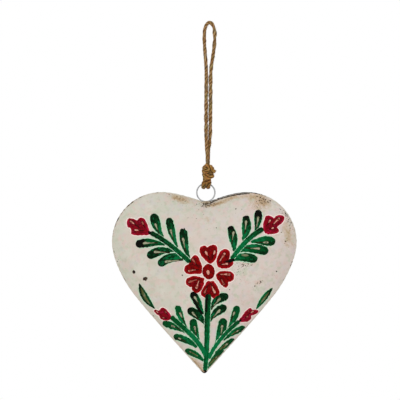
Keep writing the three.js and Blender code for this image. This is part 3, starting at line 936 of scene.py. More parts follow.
def seamPiece():
    # A round bead carried along the outline, thicker and thinner by a slow ripple
    line = np.roll(inset(outline, seam["inset"]), -1, 0)[:-1]
    line = line[np.linalg.norm(line, axis=1) > seam["gap"]]
    chord = unit(np.gradient(line, axis=0))
    out = np.stack([-chord[:, 1], chord[:, 0]], 1)
    along = np.arange(len(line))[:, None] * seam["spacing"]
    ragged = line[:, 0] + seam["raggedness"] * ripple(along, seam["raggedLength"], seam["seed"])
    uncovered = smooth(ragged, *seam["bareFrom"]) * (1 - smooth(ragged, *seam["bareTo"]))
    bare = np.where((line[:, 0] > 0) & (line[:, 1] > seam["bareAbove"]), uncovered, 0)
    line = line + out * (seam["proud"] * bare)[:, None]
    left, low = seam["leftCorner"]
    touched = bare + seam["touches"] * np.maximum(ripple(along, seam["touchLength"], seam["seed"] + 1), 0)
    touched = touched + np.where((line[:, 0] < left) & (line[:, 1] > low), seam["leftTouch"], 0)
    fromTip = np.abs(line[:, 0] + heart["notchOffset"])
    touched = np.maximum(touched, 1 - smooth(fromTip, *seam["tipReach"]))
    theta = fullTurn(seam["sides"])[None]
    uneven = seam["unevenness"] * ripple(along, seam["unevenLength"], seam["seed"] + 2)
    size = (seam["radius"] * (1 + uneven - seam["thinner"] * bare))[:, None]
    flat = line[:, None] + out[:, None] * (np.cos(theta) * size)[..., None]
    rings = toRow(flat, np.sin(theta) * size)
    part = closedSkin(rings, bare=np.broadcast_to(touched[:, None], rings.shape[:2]))
    piece = buildPiece("rim_seam_bead", [part], makeSeamMaterial())
    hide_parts("rim_seam")
    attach(piece, "heart")


seamPiece()
print("rim seam run")


# Ring: closed ring of steel wire, brushed white with the heart
ringSize = {
    "radius": 5.87,
    "wire": 0.47,
    "centreZ": -109.37,
    "uneven": 0.03,
    "unevenLength": 4,
    "unevenRadius": 5,  # the ripple's pattern is read on a circle of this radius
    "seed": 71,
    "steps": 150,
    "sides": 16,
}
whiteWire = {"white": "#B9BABB", "shade": "#94979A", "bare": "#6E6A66", "grainScale": 420.0,
             "shadeSteps": (0.42, 0.66), "bareSteps": (0.64, 0.76), "roughness": 0.45, "relief": (0.3, 0.1)}


def makeWireMaterial():  # thin white lacquer on drawn steel wire: soft gloss, greyer where it is thin
    material, tree = newMaterial("lacqueredSteelWire")
    place = addNode(tree, "ShaderNodeTexCoord").outputs["Object"]
    grain = addNode(tree, "ShaderNodeTexNoise", None,
                    {0: place, "Scale": whiteWire["grainScale"], "Detail": 3.0}).outputs[0]
    colour, _ = layered(tree, linearColour(whiteWire["white"]), [
        (grain, whiteWire["shade"], *whiteWire["shadeSteps"], 1.0),
        (grain, whiteWire["bare"], *whiteWire["bareSteps"], 1.0),
    ])
    surfaced(tree, colour, grain, whiteWire["relief"], {"Roughness": whiteWire["roughness"]})
    return material


def ringPiece():
    # Torus: a circle of the wire's radius carried round the ring's circle, the last section
    # joined to the first
    turn = fullTurn(ringSize["steps"])[:, None]
    theta = fullTurn(ringSize["sides"])[None]
    circle = np.concatenate([np.cos(turn), np.sin(turn)], 1) * ringSize["unevenRadius"]
    uneven = ringSize["uneven"] * ripple(circle, ringSize["unevenLength"], ringSize["seed"])
    size = (ringSize["wire"] * (1 + uneven))[:, None]
    across = ringSize["radius"] + np.cos(theta) * size
    points = np.stack([heart["axisX"] + across * np.sin(turn), np.sin(theta) * size,
                       ringSize["centreZ"] + across * np.cos(turn)], -1)
    quads = gridQuads(*points.shape[:2], joined=True)
    part = turnedOut({"points": points.reshape(-1, 3), "faces": [quads], "values": {}})
    piece = buildPiece("hanging_ring_wire", [part], makeWireMaterial())
    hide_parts("hanging_ring")
    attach(piece, "heart")


ringPiece()

# Braze: the lump that fixes the ring's foot, its surface pitted and half painted
brazeSize = {
    "half": (3.4, 1.9, 0.95),
    "centre": (-2.4, 0.0, -115.85),
    "lumps": 4,  # the ripples' pattern is read on a ball of this radius
    "swells": [(0.1, 3.2, 81), (0.05, 1.2, 82)],  # amount, length and seed of each ripple
    "rows": 40,
    "columns": 64,
}
brazeLook = {"brown": "#948066", "grey": "#CDC0A8", "dark": "#4A3A28", "lumpScale": 750.0,
             "speckScale": 1500.0, "greySteps": (0.42, 0.6), "darkSteps": (0.54, 0.66), "roughness": 0.6,
             "gloss": 0.35, "relief": (0.6, 0.3)}


def makeBrazeMaterial():  # brass filler run by torch, dull and crusty, with paint caught in its hollows
    material, tree = newMaterial("torchBrazedFoot")
    place = addNode(tree, "ShaderNodeTexCoord").outputs["Object"]
    lumps = addNode(tree, "ShaderNodeTexNoise", None,
                    {0: place, "Scale": brazeLook["lumpScale"], "Detail": 3.0}).outputs[0]
    specks = addNode(tree, "ShaderNodeTexNoise", None,
                     {0: place, "Scale": brazeLook["speckScale"], "Detail": 2.0}).outputs[0]
    colour, _ = layered(tree, linearColour(brazeLook["brown"]), [
        (lumps, brazeLook["grey"], *brazeLook["greySteps"], 1.0),
        (specks, brazeLook["dark"], *brazeLook["darkSteps"], 1.0),
    ])
    surfaced(tree, colour, lumps, brazeLook["relief"],
             {"Roughness": brazeLook["roughness"], "Specular IOR Level": brazeLook["gloss"]})
    return material


def brazePiece():
    # Ellipsoid whose radius swells and shrinks by two ripples
    up = np.linspace(0, np.pi, brazeSize["rows"] + 2)[1:-1, None]
    around = fullTurn(brazeSize["columns"])[None]
    way = np.stack([np.sin(up) * np.cos(around), np.sin(up) * np.sin(around),
                    np.cos(up) * np.ones_like(around)], -1)
    swell = 1 + sum(amount * ripple(way * brazeSize["lumps"], length, seed)
                    for amount, length, seed in brazeSize["swells"])
    rings = np.array(brazeSize["centre"]) + way * np.array(brazeSize["half"]) * swell[..., None]
    piece = buildPiece("ring_braze_lump", [closedSkin(rings)], makeBrazeMaterial())
    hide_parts("ring_braze")
    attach(piece, "heart")


brazePiece()
print("ring brazed in the notch")


# Brush strokes: thin crowned patches of enamel on the front dome, given in pixels of the picture
stroke = {
    "lift": 0.2,  # thickness of the paint in mm at the crown of a stroke
    "fall": 0.75,  # how much thinner it is at the edges
    "sink": 0.12,  # how far a stroke's underside lies below the dome's surface
    "rows": 44,
    "columns": 13,
    "crowding": 0.35,  # above 0, rows are closer together at both ends
    "wobble": 0.1,  # unevenness of a stroke's edge in mm
    "wobbleSize": 2.6,
    "wobbleRise": (0.1, 0.8),  # half widths in mm between which the unevenness comes in
    "crownRise": (0, 0.5),
    "torn": 0.7,  # depth in mm of the notches in a split head
    "tornSize": 1.6,
    "tornBias": 0.4,
    "tornShare": 0.16,  # of the length
    "bristles": 0.03,  # height in mm of the ridges that the bristles leave
    "bristleSize": 1.3,
    "bristleRun": (0.3, 2.2),  # along and across
    "bristleRise": (0.1, 0.6),
    "apart": 3.7,  # how far one stroke's colours are from the next one's
    "seeds": 5,  # a stroke's seeds before the next one's
    "washSpread": 0.5,  # how far in mm the thinned paint runs out past a stroke
}
blot = {
    "shares": (1.0, 0.975, 0.93, 0.86, 0.76, 0.64, 0.5, 0.34, 0.17),  # sizes of its rings
    "heights": (0.2, 0.7, 0.92, 1.0, 1.0, 1.0, 0.98, 0.96, 0.95),  # of the lift, ring by ring
    "under": (0.4, 0.8, 1.0),  # sizes of the rings on the underside
    "steps": 8,  # points from one given point of the edge to the next
    "wobble": 0.1,
    "wobbleSize": 2.4,
    "wobbleRound": 6.3,  # the wobble's pattern is read on a circle, this many radii round
    "relief": 0.035,
    "reliefSize": 2.2,
    "reliefRun": 1.5,
    "reliefWithin": 0.95,
    "rim": (0.7, 0.95),  # shares of the size between which the rim's tone comes in
    "seeds": 3,
}
forms = {  # share of the width at the head, where it is full, then each narrowing and its bounds
    "leaf": (0.9, 0.35, [(0.7, 0.35, 1.0)]),
    "torn": (0.9, 0.35, [(0.7, 0.35, 1.0)]),
    "broad": (0.9, 0.35, [(0.45, 0.4, 1.0)]),
    "flat": (0.68, 0.4, [(0.62, 0.45, 1.0)]),
    "tear": (1.0, 1.0, [(0.55, 0.15, 0.5), (0.25, 0.6, 1.0)]),
}
toning = {
    "headDark": 0.3,  # how much darker the head is
    "headReach": 0.55,
    "edgeDark": 0.2,
    "paleRun": (0.1, 0.8),
    "leanPale": 0.5,  # how much paler the side away from the dark one is
    "blackSharp": 8,  # how sharply the black ends
    "blackSlant": 0.03,
    "ringPlace": 0.2,  # middle of a light that is a ring, and how far it reaches
    "ringReach": 0.1,
    "tailRun": (0.45, 0.9),
    "lightRun": (0.25, 0.7),
    "lightFall": 0.6,
}


def withinRim(flat, margin=0.3):  # points past the margin inside the rim are moved back to it
    flat = flat.copy()
    chord = unit(np.roll(rim, -1, 0) - np.roll(rim, 1, 0))
    inward = np.stack([chord[:, 1], -chord[:, 0]], 1)
    nearest = np.linalg.norm(flat[..., None, :] - rim, axis=-1).argmin(-1)
    depthIn = ((flat - rim[nearest]) * inward[nearest]).sum(-1, keepdims=True)
    return flat + inward[nearest] * np.maximum(margin - depthIn, 0)


def profileOf(kind, s, ratio):
    # Half width as a share of the widest, from the head at 0 to the foot at 1. `ratio` is the
    # width over the length, so that a round head is a half circle.
    head = np.clip(s / (ratio * 0.5), 0, 1)
    foot = np.clip((1 - s) / (ratio * 0.5), 0, 1)
    headEnd = np.sqrt(1 - (1 - head)**2)
    if kind == "stem":  # even, round at both ends
        return headEnd * np.sqrt(1 - (1 - foot)**2)
    if kind == "blade":  # pointed at both ends
        return np.sin(np.pi * np.clip(s, 0, 1)**0.92)**0.85
    if kind == "flat":  # nearly square at the head
        headEnd = np.clip(s / (ratio * 0.14), 0, 1)**0.4
    start, full, narrowings = forms[kind]
    profile = headEnd * (start + (1 - start) * smooth(s, 0, full))
    for amount, low, high in narrowings:
        profile = profile * (1 - amount * smooth(s, low, high))
    return profile * np.sqrt(np.clip(foot * 3, 0, 1))


def leafTone(s, v, dark, black, pale, lean):
    # Darker towards the head, the edges and the side that it leans to, paler towards the foot,
    # and black from the head down to a share of the length
    headShade = toning["headDark"] * (1 - smooth(s, 0, toning["headReach"]))
    darkness = dark + headShade + toning["edgeDark"] * np.abs(v)**3 + lean * v
    paleness = pale * smooth(s, *toning["paleRun"]) - toning["leanPale"] * lean * v
    past = (black - s - toning["blackSlant"] * v) * toning["blackSharp"]
    return darkness, paleness, np.clip(past + 0.5, 0, 1) * (black > 0)


def lightTone(s, v, dark, ring, pale, tail):
    # Pale at the head, then tan, then brown towards the tail, with a brown middle where the
    # light is a ring
    middle = ring * np.exp(-((s - toning["ringPlace"]) / toning["ringReach"])**2) * (1 - v**2)
    darkness = dark + tail * smooth(s, *toning["tailRun"]) + middle
    paleness = pale * (1 - (toning["lightFall"] + tail) * smooth(s, *toning["lightRun"])) - middle
    return darkness, paleness, np.zeros(1)


def seeded(rows, first, step=stroke["seeds"]):  # rows of a table, each with its own seed in front
    return [(first + step * n, *row) for n, row in enumerate(rows)]


def strokePart(pixels, width, kind, seed, toneOf, tones, lift=stroke["lift"], footShare=1.0,
               fall=stroke["fall"]):
    # The stroke's middle line is a polynomial through its points. Across it the patch is as wide
    # as the profile says, and its height falls towards its edges with the fourth power of the
    # share across.
    points = fromPicture(pixels)
    chord = lengthsAlong(points)
    degree = min(len(points) - 1, 3)
    fit = [np.polyfit(chord / chord[-1], points[:, n], degree) for n in (0, 1)]
    s = np.linspace(0, 1, stroke["rows"])
    s = s - stroke["crowding"] * np.sin(2 * np.pi * s) / (2 * np.pi)
    line = np.stack([np.polyval(f, s) for f in fit], 1)
    along = (s * chord[-1])[:, None]
    normal = unit(np.gradient(line, axis=0))[:, ::-1] * (1, -1)
    widthMm = width * pixel
    half = widthMm / 2 * profileOf(kind, s, widthMm / chord[-1]) * (1 + (footShare - 1) * s)
    half = half[:, None]
    v = np.sin(np.linspace(-np.pi / 2, np.pi / 2, stroke["columns"]))[None]
    left, right = [ripple(along, stroke["wobbleSize"], seed + n)[:, None] for n in (0, 1)]
    wobble = stroke["wobble"] * np.where(v < 0, left, right)
    offset = half * v + wobble * np.abs(v) * smooth(half, *stroke["wobbleRise"])
    torn = stroke["torn"] if kind == "torn" else 0.0
    notches = ripple(offset[..., None], stroke["tornSize"], seed + 2) + stroke["tornBias"]
    back = torn * notches * (1 - smooth(s, 0, stroke["tornShare"]))[:, None]
    heading = np.stack([normal[:, 1], -normal[:, 0]], 1)
    flat = line[:, None] + normal[:, None] * offset[..., None] - heading[:, None] * back[..., None]
    flat = withinRim(flat)
    run, across = stroke["bristleRun"]
    ridges = np.stack([np.broadcast_to(along * run, offset.shape), offset * across], -1)
    bristles = stroke["bristles"] * ripple(ridges, stroke["bristleSize"], seed + 3)
    height = lift * (1 - fall * v**4) * smooth(half, *stroke["crownRise"])
    height = height + bristles * smooth(half, *stroke["bristleRise"])
    depth = depthOf(flat, -1)
    top = toRow(flat, depth - height)
    bottom = toRow(flat, depth + stroke["sink"])[:, 1:-1][:, ::-1]
    brush = np.stack(np.broadcast_arrays(along, offset, seed * stroke["apart"]), -1)
    tone = np.stack(np.broadcast_arrays(offset, *toneOf(s[:, None], v, *tones)), -1)[..., 1:]
    return closedSkin(np.concatenate([top, bottom], 1),
                      brush=np.concatenate([brush, brush[:, 1:-1][:, ::-1]], 1),
                      tone=np.concatenate([tone, tone[:, 1:-1][:, ::-1]], 1))


def blotPart(pixels, seed, dark, rimDark, rimPale=0.0, pale=0.0, lift=stroke["lift"],
             wobble=blot["wobble"], grow=0.0):
    # A closed smooth curve through the points, filled by rings that shrink to its middle. Its
    # height rises steeply at the edge and is level inside.
    edge = fromPicture(throughPoints(pixels, blot["steps"], closed=True))
    along = np.cumsum(np.linalg.norm(np.roll(edge, -1, 0) - edge, axis=1))
    normal = unit(np.roll(edge, -1, 0) - np.roll(edge, 1, 0))[:, ::-1] * (1, -1)
    angle = along / along[-1] * 2 * np.pi
    circle = np.stack([np.cos(angle), np.sin(angle)], 1) * along[-1] / blot["wobbleRound"]
    outward = np.sign(((edge - edge.mean(0)) * normal).sum())
    shift = wobble * ripple(circle, blot["wobbleSize"], seed) + outward * grow
    edge = withinRim(edge + normal * shift[:, None])
    middle = edge.mean(0)
    shares, heights, under = [np.array(blot[key])[:, None] for key in ("shares", "heights", "under")]
    flat = middle + (edge[None] - middle) * shares[..., None]
    relief = blot["relief"] * ripple(flat * blot["reliefRun"], blot["reliefSize"], seed + 1)
    relief = relief * (shares < blot["reliefWithin"])
    top = toRow(flat, depthOf(flat, -1) - lift * heights - relief)
    underFlat = middle + (edge[None] - middle) * under[..., None]
    bottom = toRow(underFlat, depthOf(underFlat, -1) + stroke["sink"])
    flatAll = np.concatenate([underFlat, flat])
    brush = np.concatenate([flatAll, np.full(flatAll.shape[:2] + (1,), seed * stroke["apart"])], -1)
    rimShare = smooth(np.concatenate([under, shares]) * np.ones(len(edge)), *blot["rim"])
    tone = np.stack([dark + rimDark * rimShare, pale + rimPale * rimShare, 0 * rimShare], -1)
    return closedSkin(np.concatenate([bottom, top]), brush=brush, tone=tone)


def chipOutline(x, y, size, seed, corners=10, uneven=0.18):  # a rough circle in pixels of the picture
    angle = fullTurn(corners)
    swell = 1 + uneven * np.random.default_rng(seed).normal(size=corners)
    return np.stack([x + size * swell * np.cos(angle), y + size * swell * np.sin(angle)], 1)


brushed = {  # what the brushed enamels share
    "streak": (0.5, 0.5, 1.0),  # along the stroke, across it, and from stroke to stroke
    "blotScale": 0.55,
    "contrast": 1.7,  # how strongly the brush's unevenness shows
    "steps": [("deep", 1.05, 1.55), ("pale", 1.15, 1.55), ("black", 1.4, 1.6)],
    "roughness": 0.6,
    "gloss": 0.04,
    "relief": (0.2, 0.1),
}


def makeBrushed(name, changes):
    # Enamel laid on with a loaded round brush: full colour in the body of the stroke, darker where
    # it pools at the head and edges, bristle streaks towards the foot, and an eggshell gloss
    look = {**brushed, **changes}
    material, tree = newMaterial(name)
    brush = addNode(tree, "ShaderNodeAttribute", {"attribute_name": "brush"}).outputs["Vector"]
    tone = addNode(tree, "ShaderNodeAttribute", {"attribute_name": "tone"}).outputs["Vector"]
    parts = addNode(tree, "ShaderNodeSeparateXYZ", None, {0: tone}).outputs
    drawn = addNode(tree, "ShaderNodeMapping", None, {0: brush, 3: look["streak"]}).outputs[0]
    streaks = addNode(tree, "ShaderNodeTexNoise", None,
                      {0: drawn, "Scale": 1.0, "Detail": 3.0, "Roughness": 0.65}).outputs[0]
    blots = addNode(tree, "ShaderNodeTexNoise", None,
                    {0: brush, "Scale": look["blotScale"], "Detail": 2.0}).outputs[0]
    summed = addNode(tree, "ShaderNodeMath", {"operation": "ADD"}, {0: streaks, 1: blots}).outputs[0]
    uneven = addNode(tree, "ShaderNodeMath", {"operation": "MULTIPLY_ADD"},
                     {0: summed, 1: look["contrast"], 2: 1 - look["contrast"]}).outputs[0]
    layers = []
    for part, (tint, low, high) in zip(parts, look["steps"]):
        level = addNode(tree, "ShaderNodeMath", {"operation": "ADD"}, {0: part, 1: uneven}).outputs[0]
        layers.append((level, look[tint], low, high, 1.0))
    colour, _ = layered(tree, linearColour(look["middle"]), layers)
    surfaced(tree, colour, streaks, look["relief"],
             {"Roughness": look["roughness"], "Specular IOR Level": look["gloss"]})
    return material


def paintPiece(name, parts, material):
    piece = buildPiece(name, parts, material)
    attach(piece, "heart")
    return piece


# Green: stems and leaves. Each leaf gives its head, middle and foot, its width in pixels, its form,
# how dark it is, the share that is black at the head, how pale the foot is, and its dark side
leafGreen = {
    "deep": "#031F0A",
    "middle": "#004E22",
    "pale": "#05703E",
    "black": "#090A06",
    "streak": (0.12, 1.3, 1.0),
    "seed": 100,
    "stemSeed": 300,
    "stemLift": 0.42,
    "stemFall": 0.1,
    "endSeed": 340,
    "endLift": 0.46,
    "endTones": (0.8, 2.0, 0.0, 0.0),
}
leaves = [
    # upper left spray
    ([(153.6, 213.4), (156.3, 224.5), (163.4, 237.5)], 9.4, "leaf", 0.4, 0.0, 0.4, 0.1),
    ([(168.9, 217.6), (171.4, 230.6), (177.6, 247.4)], 7.8, "leaf", 0.3, 0.0, 0.4, 0.1),
    ([(183.4, 228.0), (184.2, 241.1), (189.8, 259.6)], 8.4, "torn", 0.5, 0.0, 0.3, 0.1),
    ([(135.6, 244.9), (148.0, 242.8), (165.4, 244.8)], 8.8, "leaf", 0.35, 0.3, 0.3, 0.2),
    ([(147.5, 257.4), (157.0, 252.0), (175.4, 251.0)], 9.0, "leaf", 0.65, 0.0, 0.3, 0.2),
    ([(158.9, 265.8), (166.8, 259.2), (188.0, 259.0)], 8.8, "broad", 0.6, 0.0, 0.4, 0.2),
    # upper right spray
    ([(229.8, 226.0), (232.9, 236.6), (234.2, 251.6)], 8.6, "flat", 0.5, 0.14, 0.4, 0.0),
    ([(245.4, 215.6), (246.5, 226.5), (242.8, 241.0)], 9.3, "flat", 0.35, 0.1, 0.4, -0.1),
    ([(258.1, 209.8), (258.0, 219.8), (255.0, 232.4)], 8.0, "leaf", 0.5, 0.36, 0.3, 0.1),
    ([(275.4, 242.2), (265.0, 240.8), (250.6, 242.0)], 9.6, "leaf", 0.1, 0.0, 0.4, -0.2),
    ([(268.2, 252.4), (257.0, 248.9), (238.8, 250.2)], 9.4, "broad", 0.1, 0.0, 0.4, -0.1),
    ([(257.2, 260.4), (246.5, 257.4), (231.0, 259.6)], 8.8, "broad", 0.25, 0.0, 0.3, -0.1),
    # middle stem
    ([(191.8, 291.9), (196.6, 300.4), (203.4, 314.4)], 8.2, "leaf", 0.45, 0.26, 0.2, 0.4),
    ([(187.4, 309.6), (196.9, 314.6), (206.2, 326.0)], 8.8, "leaf", 0.6, 0.08, 0.3, 0.1),
    ([(228.6, 296.4), (219.4, 298.6), (210.4, 310.4)], 8.6, "leaf", 0.5, 0.0, 0.2, 0.0),
    ([(226.8, 306.9), (218.2, 311.0), (209.4, 322.0)], 8.6, "leaf", 0.5, 0.0, 0.3, 0.0),
    # lower left spray
    ([(177.4, 305.0), (180.2, 315.6), (187.6, 329.0)], 6.8, "torn", -0.45, 0.0, 0.8, -0.2),
    ([(193.4, 318.6), (194.2, 329.5), (201.8, 348.0)], 8.0, "leaf", -0.1, 0.0, 0.6, 0.1),
    ([(162.4, 322.8), (172.1, 325.9), (186.5, 333.0)], 7.2, "leaf", 0.0, 0.0, 0.4, 0.2),
    ([(173.4, 336.3), (182.9, 338.8), (197.4, 347.2)], 7.2, "broad", 0.0, 0.0, 0.3, 0.3),
    ([(184.8, 350.4), (193.4, 353.5), (206.0, 363.2)], 6.9, "leaf", -0.1, 0.0, 0.3, 0.2),
    # lower right spray
    ([(237.3, 305.6), (235.0, 314.8), (227.4, 330.0)], 7.4, "leaf", -0.15, 0.0, 0.5, 0.1),
    ([(223.4, 318.0), (221.6, 329.6), (213.8, 350.0)], 9.1, "leaf", 0.0, 0.0, 0.6, 0.0),
    ([(245.4, 327.3), (236.4, 331.1), (223.4, 340.6)], 6.4, "leaf", 0.0, 0.0, 0.4, -0.2),
    ([(234.7, 339.2), (226.9, 344.6), (215.0, 353.2)], 6.7, "leaf", 0.1, 0.0, 0.3, 0.0),
    ([(224.2, 352.1), (215.7, 358.0), (206.4, 369.2)], 7.4, "leaf", -0.05, 0.0, 0.3, 0.0),
    # two lone blades
    ([(139.2, 283.2), (145.0, 297.0), (155.4, 309.0)], 7.2, "blade", 0.45, 0.0, 0.1, 0.2),
    ([(272.8, 287.6), (264.3, 297.8), (255.8, 309.8)], 6.0, "blade", 0.2, 0.0, 0.3, -0.3),
]
stems = [  # points from the top, width, then the same four values, and the foot's share of the width
    ([(150.2, 232.4), (161.4, 238.8), (176.2, 249.8), (190.2, 262.4)], 4.6, 0.3, 0.0, 0.25, 0.15, 1.0),
    ([(263.4, 228.6), (252.4, 235.8), (240.6, 247.4), (231.0, 259.8)], 5.2, 0.1, 0.0, 0.5, 0.15, 0.8),
    ([(208.4, 293.6), (207.6, 310.0), (207.1, 330.0), (206.6, 350.0), (205.0, 373.4)],
     6.0, 0.1, 0.0, 0.35, 0.3, 0.74),
    ([(170.6, 316.4), (180.4, 325.0), (192.8, 336.6), (206.4, 357.0)], 4.8, -0.25, 0.0, 0.75, 0.2, 1.0),
    ([(239.6, 320.8), (228.4, 330.8), (217.0, 344.0), (208.4, 359.0)], 3.9, -0.2, 0.0, 0.85, 0.15, 1.0),
]
stemEnds = [  # black ends where a stem meets a petal or a bud, and two black edges
    ([(234.0, 258.4), (231.4, 260.4), (228.0, 261.2)], 3.8),
    ([(228.6, 260.8), (227.0, 261.3), (225.2, 261.5)], 1.4),
    ([(188.2, 260.2), (189.8, 261.2), (191.2, 262.6)], 2.4),
    ([(148.4, 231.2), (149.6, 232.6), (151.4, 233.6)], 2.8),
    ([(204.9, 369.4), (204.8, 371.4), (204.7, 373.9)], 4.2),
    ([(207.4, 293.8), (206.9, 301.0), (206.6, 312.6)], 2.9),
    ([(193.2, 299.4), (197.2, 306.4), (202.6, 314.2)], 2.7),
    ([(238.6, 321.6), (240.2, 320.6), (241.4, 319.4)], 2.2),
]
leafRows = seeded(leaves, leafGreen["seed"])
stemRows = seeded(stems, leafGreen["stemSeed"])
greenParts = [strokePart(points, width, kind, seed, leafTone, tones)
              for seed, points, width, kind, *tones in leafRows]
greenParts += [strokePart(points, width, "stem", seed, leafTone, tones, leafGreen["stemLift"], footShare,
                          leafGreen["stemFall"]) for seed, points, width, *tones, footShare in stemRows]
greenParts += [strokePart(points, width, "stem", seed, leafTone, leafGreen["endTones"], leafGreen["endLift"])
               for seed, points, width in seeded(stemEnds, leafGreen["endSeed"])]
paintPiece("painted_leaves", greenParts, makeBrushed("brushedGreenEnamel", leafGreen))

# Thin paint that ran out past the strokes: a pale mint edge along the green
mintWash = {
    "deep": "#A6D6AE",
    "middle": "#C2EACB",
    "pale": "#D8F4DC",
    "black": "#9FB79B",
    "roughness": 0.5,
    "gloss": 0.2,
    "tones": (0.0, 0.0, 0.2, 0.0),
    "lift": 0.06,
    "stemLift": 0.31,  # round a stem it lies over the leaves
    "stemSpread": (0.9, 0.7, 0.8, 0.7, 0.9),  # in pixels
    "stemStart": 0.15,  # starts this far along the stem's first stretch
}
spread = 2 * stroke["washSpread"] / pixel
mintParts = [strokePart(points, width + spread, kind, seed, leafTone, mintWash["tones"], mintWash["lift"])
             for seed, points, width, kind, *_ in leafRows]
for (seed, points, width, *_, footShare), wider in zip(stemRows, mintWash["stemSpread"]):
    first, second = np.array(points[:2])
    start = first + mintWash["stemStart"] * (second - first)
    mintParts.append(strokePart([start] + points[1:], width + wider, "stem", seed, leafTone,
                                mintWash["tones"], mintWash["stemLift"], footShare, leafGreen["stemFall"]))
paintPiece("mint_edges", mintParts, makeBrushed("thinnedMintEnamel", mintWash))

# Olive and brown washes over the middle of some leaves
oliveWash = {
    "deep": "#3A3A16",
    "middle": "#5C6338",
    "pale": "#84896A",
    "black": "#1A1A0C",
    "streak": (0.3, 2.0, 1.0),
    "dark": 0.1,
    "lean": 0.2,
    "seed": 380,
    "lift": 0.27,
}
washes = [  # points, width, and how pale the foot is
    ([(140.6, 286.0), (144.6, 296.6), (151.6, 305.6)], 3.4, 0.15),
    ([(220.4, 354.6), (215.0, 358.6), (209.0, 365.4)], 3.2, 0.0),
    ([(229.4, 342.2), (224.8, 345.8), (218.6, 350.4)], 3.2, 0.1),
    ([(188.4, 351.6), (193.6, 353.6), (199.6, 357.6)], 1.8, 0.2),
    ([(242.0, 328.6), (236.0, 331.8), (229.0, 336.4)], 1.8, 0.1),
    ([(270.0, 291.0), (264.6, 297.8), (259.2, 305.2)], 2.4, 0.35),
    ([(194.3, 333.0), (195.4, 338.0), (198.0, 343.0)], 2.2, 0.0),
]
washParts = [strokePart(points, width, "blade", seed, leafTone,
                        (oliveWash["dark"], 0.0, pale, oliveWash["lean"]), oliveWash["lift"])
             for seed, points, width, pale in seeded(washes, oliveWash["seed"])]
paintPiece("olive_washes", washParts, makeBrushed("oliveBrownEnamel", oliveWash))
print("leaves and stems painted")

# Red: the flower's six heart-shaped petals and its eye, as outlines
petalRed = {
    "deep": "#400205",
    "middle": "#860304",
    "pale": "#A80C1A",
    "black": "#1C0608",
    "seed": 400,
    "tones": (0.3, -0.2, 0.4, 0.05),  # how dark, how much darker the rim, how much paler it, how pale
    "eyeSeed": 430,
    "eyeTones": (0.15, 0.15, 0.1, 0.0),
    "eyeLift": 0.24,
}
petals = [
    [(210.6, 264.0), (206.8, 261.9), (203.7, 258.6), (200.8, 255.0), (199.4, 251.2), (200.1, 247.7),
     (202.8, 245.6), (205.4, 245.6), (207.5, 247.1), (210.4, 245.4), (213.9, 244.7), (216.8, 246.5),
     (217.4, 250.1), (217.0, 255.0), (215.5, 259.5), (212.8, 262.6)],
    [(216.3, 261.3), (217.2, 257.7), (218.7, 253.9), (221.5, 250.2), (225.3, 248.9), (228.7, 250.2),
     (230.1, 253.7), (229.9, 256.8), (229.2, 259.1), (231.0, 259.9), (233.1, 261.2), (233.5, 263.2),
     (231.6, 266.5), (228.2, 268.2), (224.6, 268.7), (221.1, 268.3), (218.2, 267.4), (216.8, 264.8)],
    [(216.2, 274.3), (218.8, 271.8), (222.4, 270.8), (227.3, 271.0), (231.5, 271.9), (234.0, 274.5),
     (234.2, 277.3), (233.0, 280.3), (230.7, 281.5), (228.6, 282.1), (228.2, 285.1), (226.9, 287.5),
     (224.2, 287.3), (221.1, 284.8), (218.2, 280.6), (216.2, 277.3)],
    [(207.7, 281.0), (205.0, 284.7), (202.6, 288.4), (200.9, 292.1), (201.6, 295.4), (204.3, 297.6),
     (207.0, 297.3), (208.7, 294.6), (210.8, 296.5), (213.3, 298.3), (216.0, 296.9), (219.2, 295.0),
     (219.9, 292.6), (218.2, 288.0), (215.9, 283.6), (213.6, 280.8), (210.6, 281.1)],
    [(204.3, 278.3), (201.4, 277.1), (197.9, 276.4), (194.7, 275.7), (190.4, 276.6), (187.1, 278.5),
     (185.6, 281.8), (186.8, 284.8), (189.6, 286.8), (191.7, 287.2), (191.6, 288.9), (193.2, 291.2),
     (196.6, 293.2), (199.5, 292.1), (202.1, 288.7), (204.1, 283.9), (204.1, 281.0)],
    [(194.9, 254.8), (198.1, 256.5), (199.9, 260.3), (201.7, 264.8), (202.2, 269.3), (201.2, 273.6),
     (197.0, 273.9), (192.5, 274.3), (187.8, 274.1), (184.8, 271.9), (184.1, 269.3), (185.5, 265.7),
     (188.5, 264.0), (189.1, 261.8), (190.4, 259.2), (192.3, 256.8)],
]
eye = [(208.6, 263.8), (211.6, 264.8), (214.1, 268.0), (214.8, 272.0), (213.9, 276.0), (211.6, 278.7),
       (208.4, 279.4), (204.9, 277.7), (202.7, 274.3), (202.2, 270.4), (203.8, 266.6), (206.2, 264.5)]
redParts = [blotPart(points, seed, *petalRed["tones"])
            for seed, *points in seeded(petals, petalRed["seed"], blot["seeds"])]
redParts.append(blotPart(eye, petalRed["eyeSeed"], *petalRed["eyeTones"], petalRed["eyeLift"]))
paintPiece("painted_flower", redParts, makeBrushed("brushedRedEnamel", petalRed))

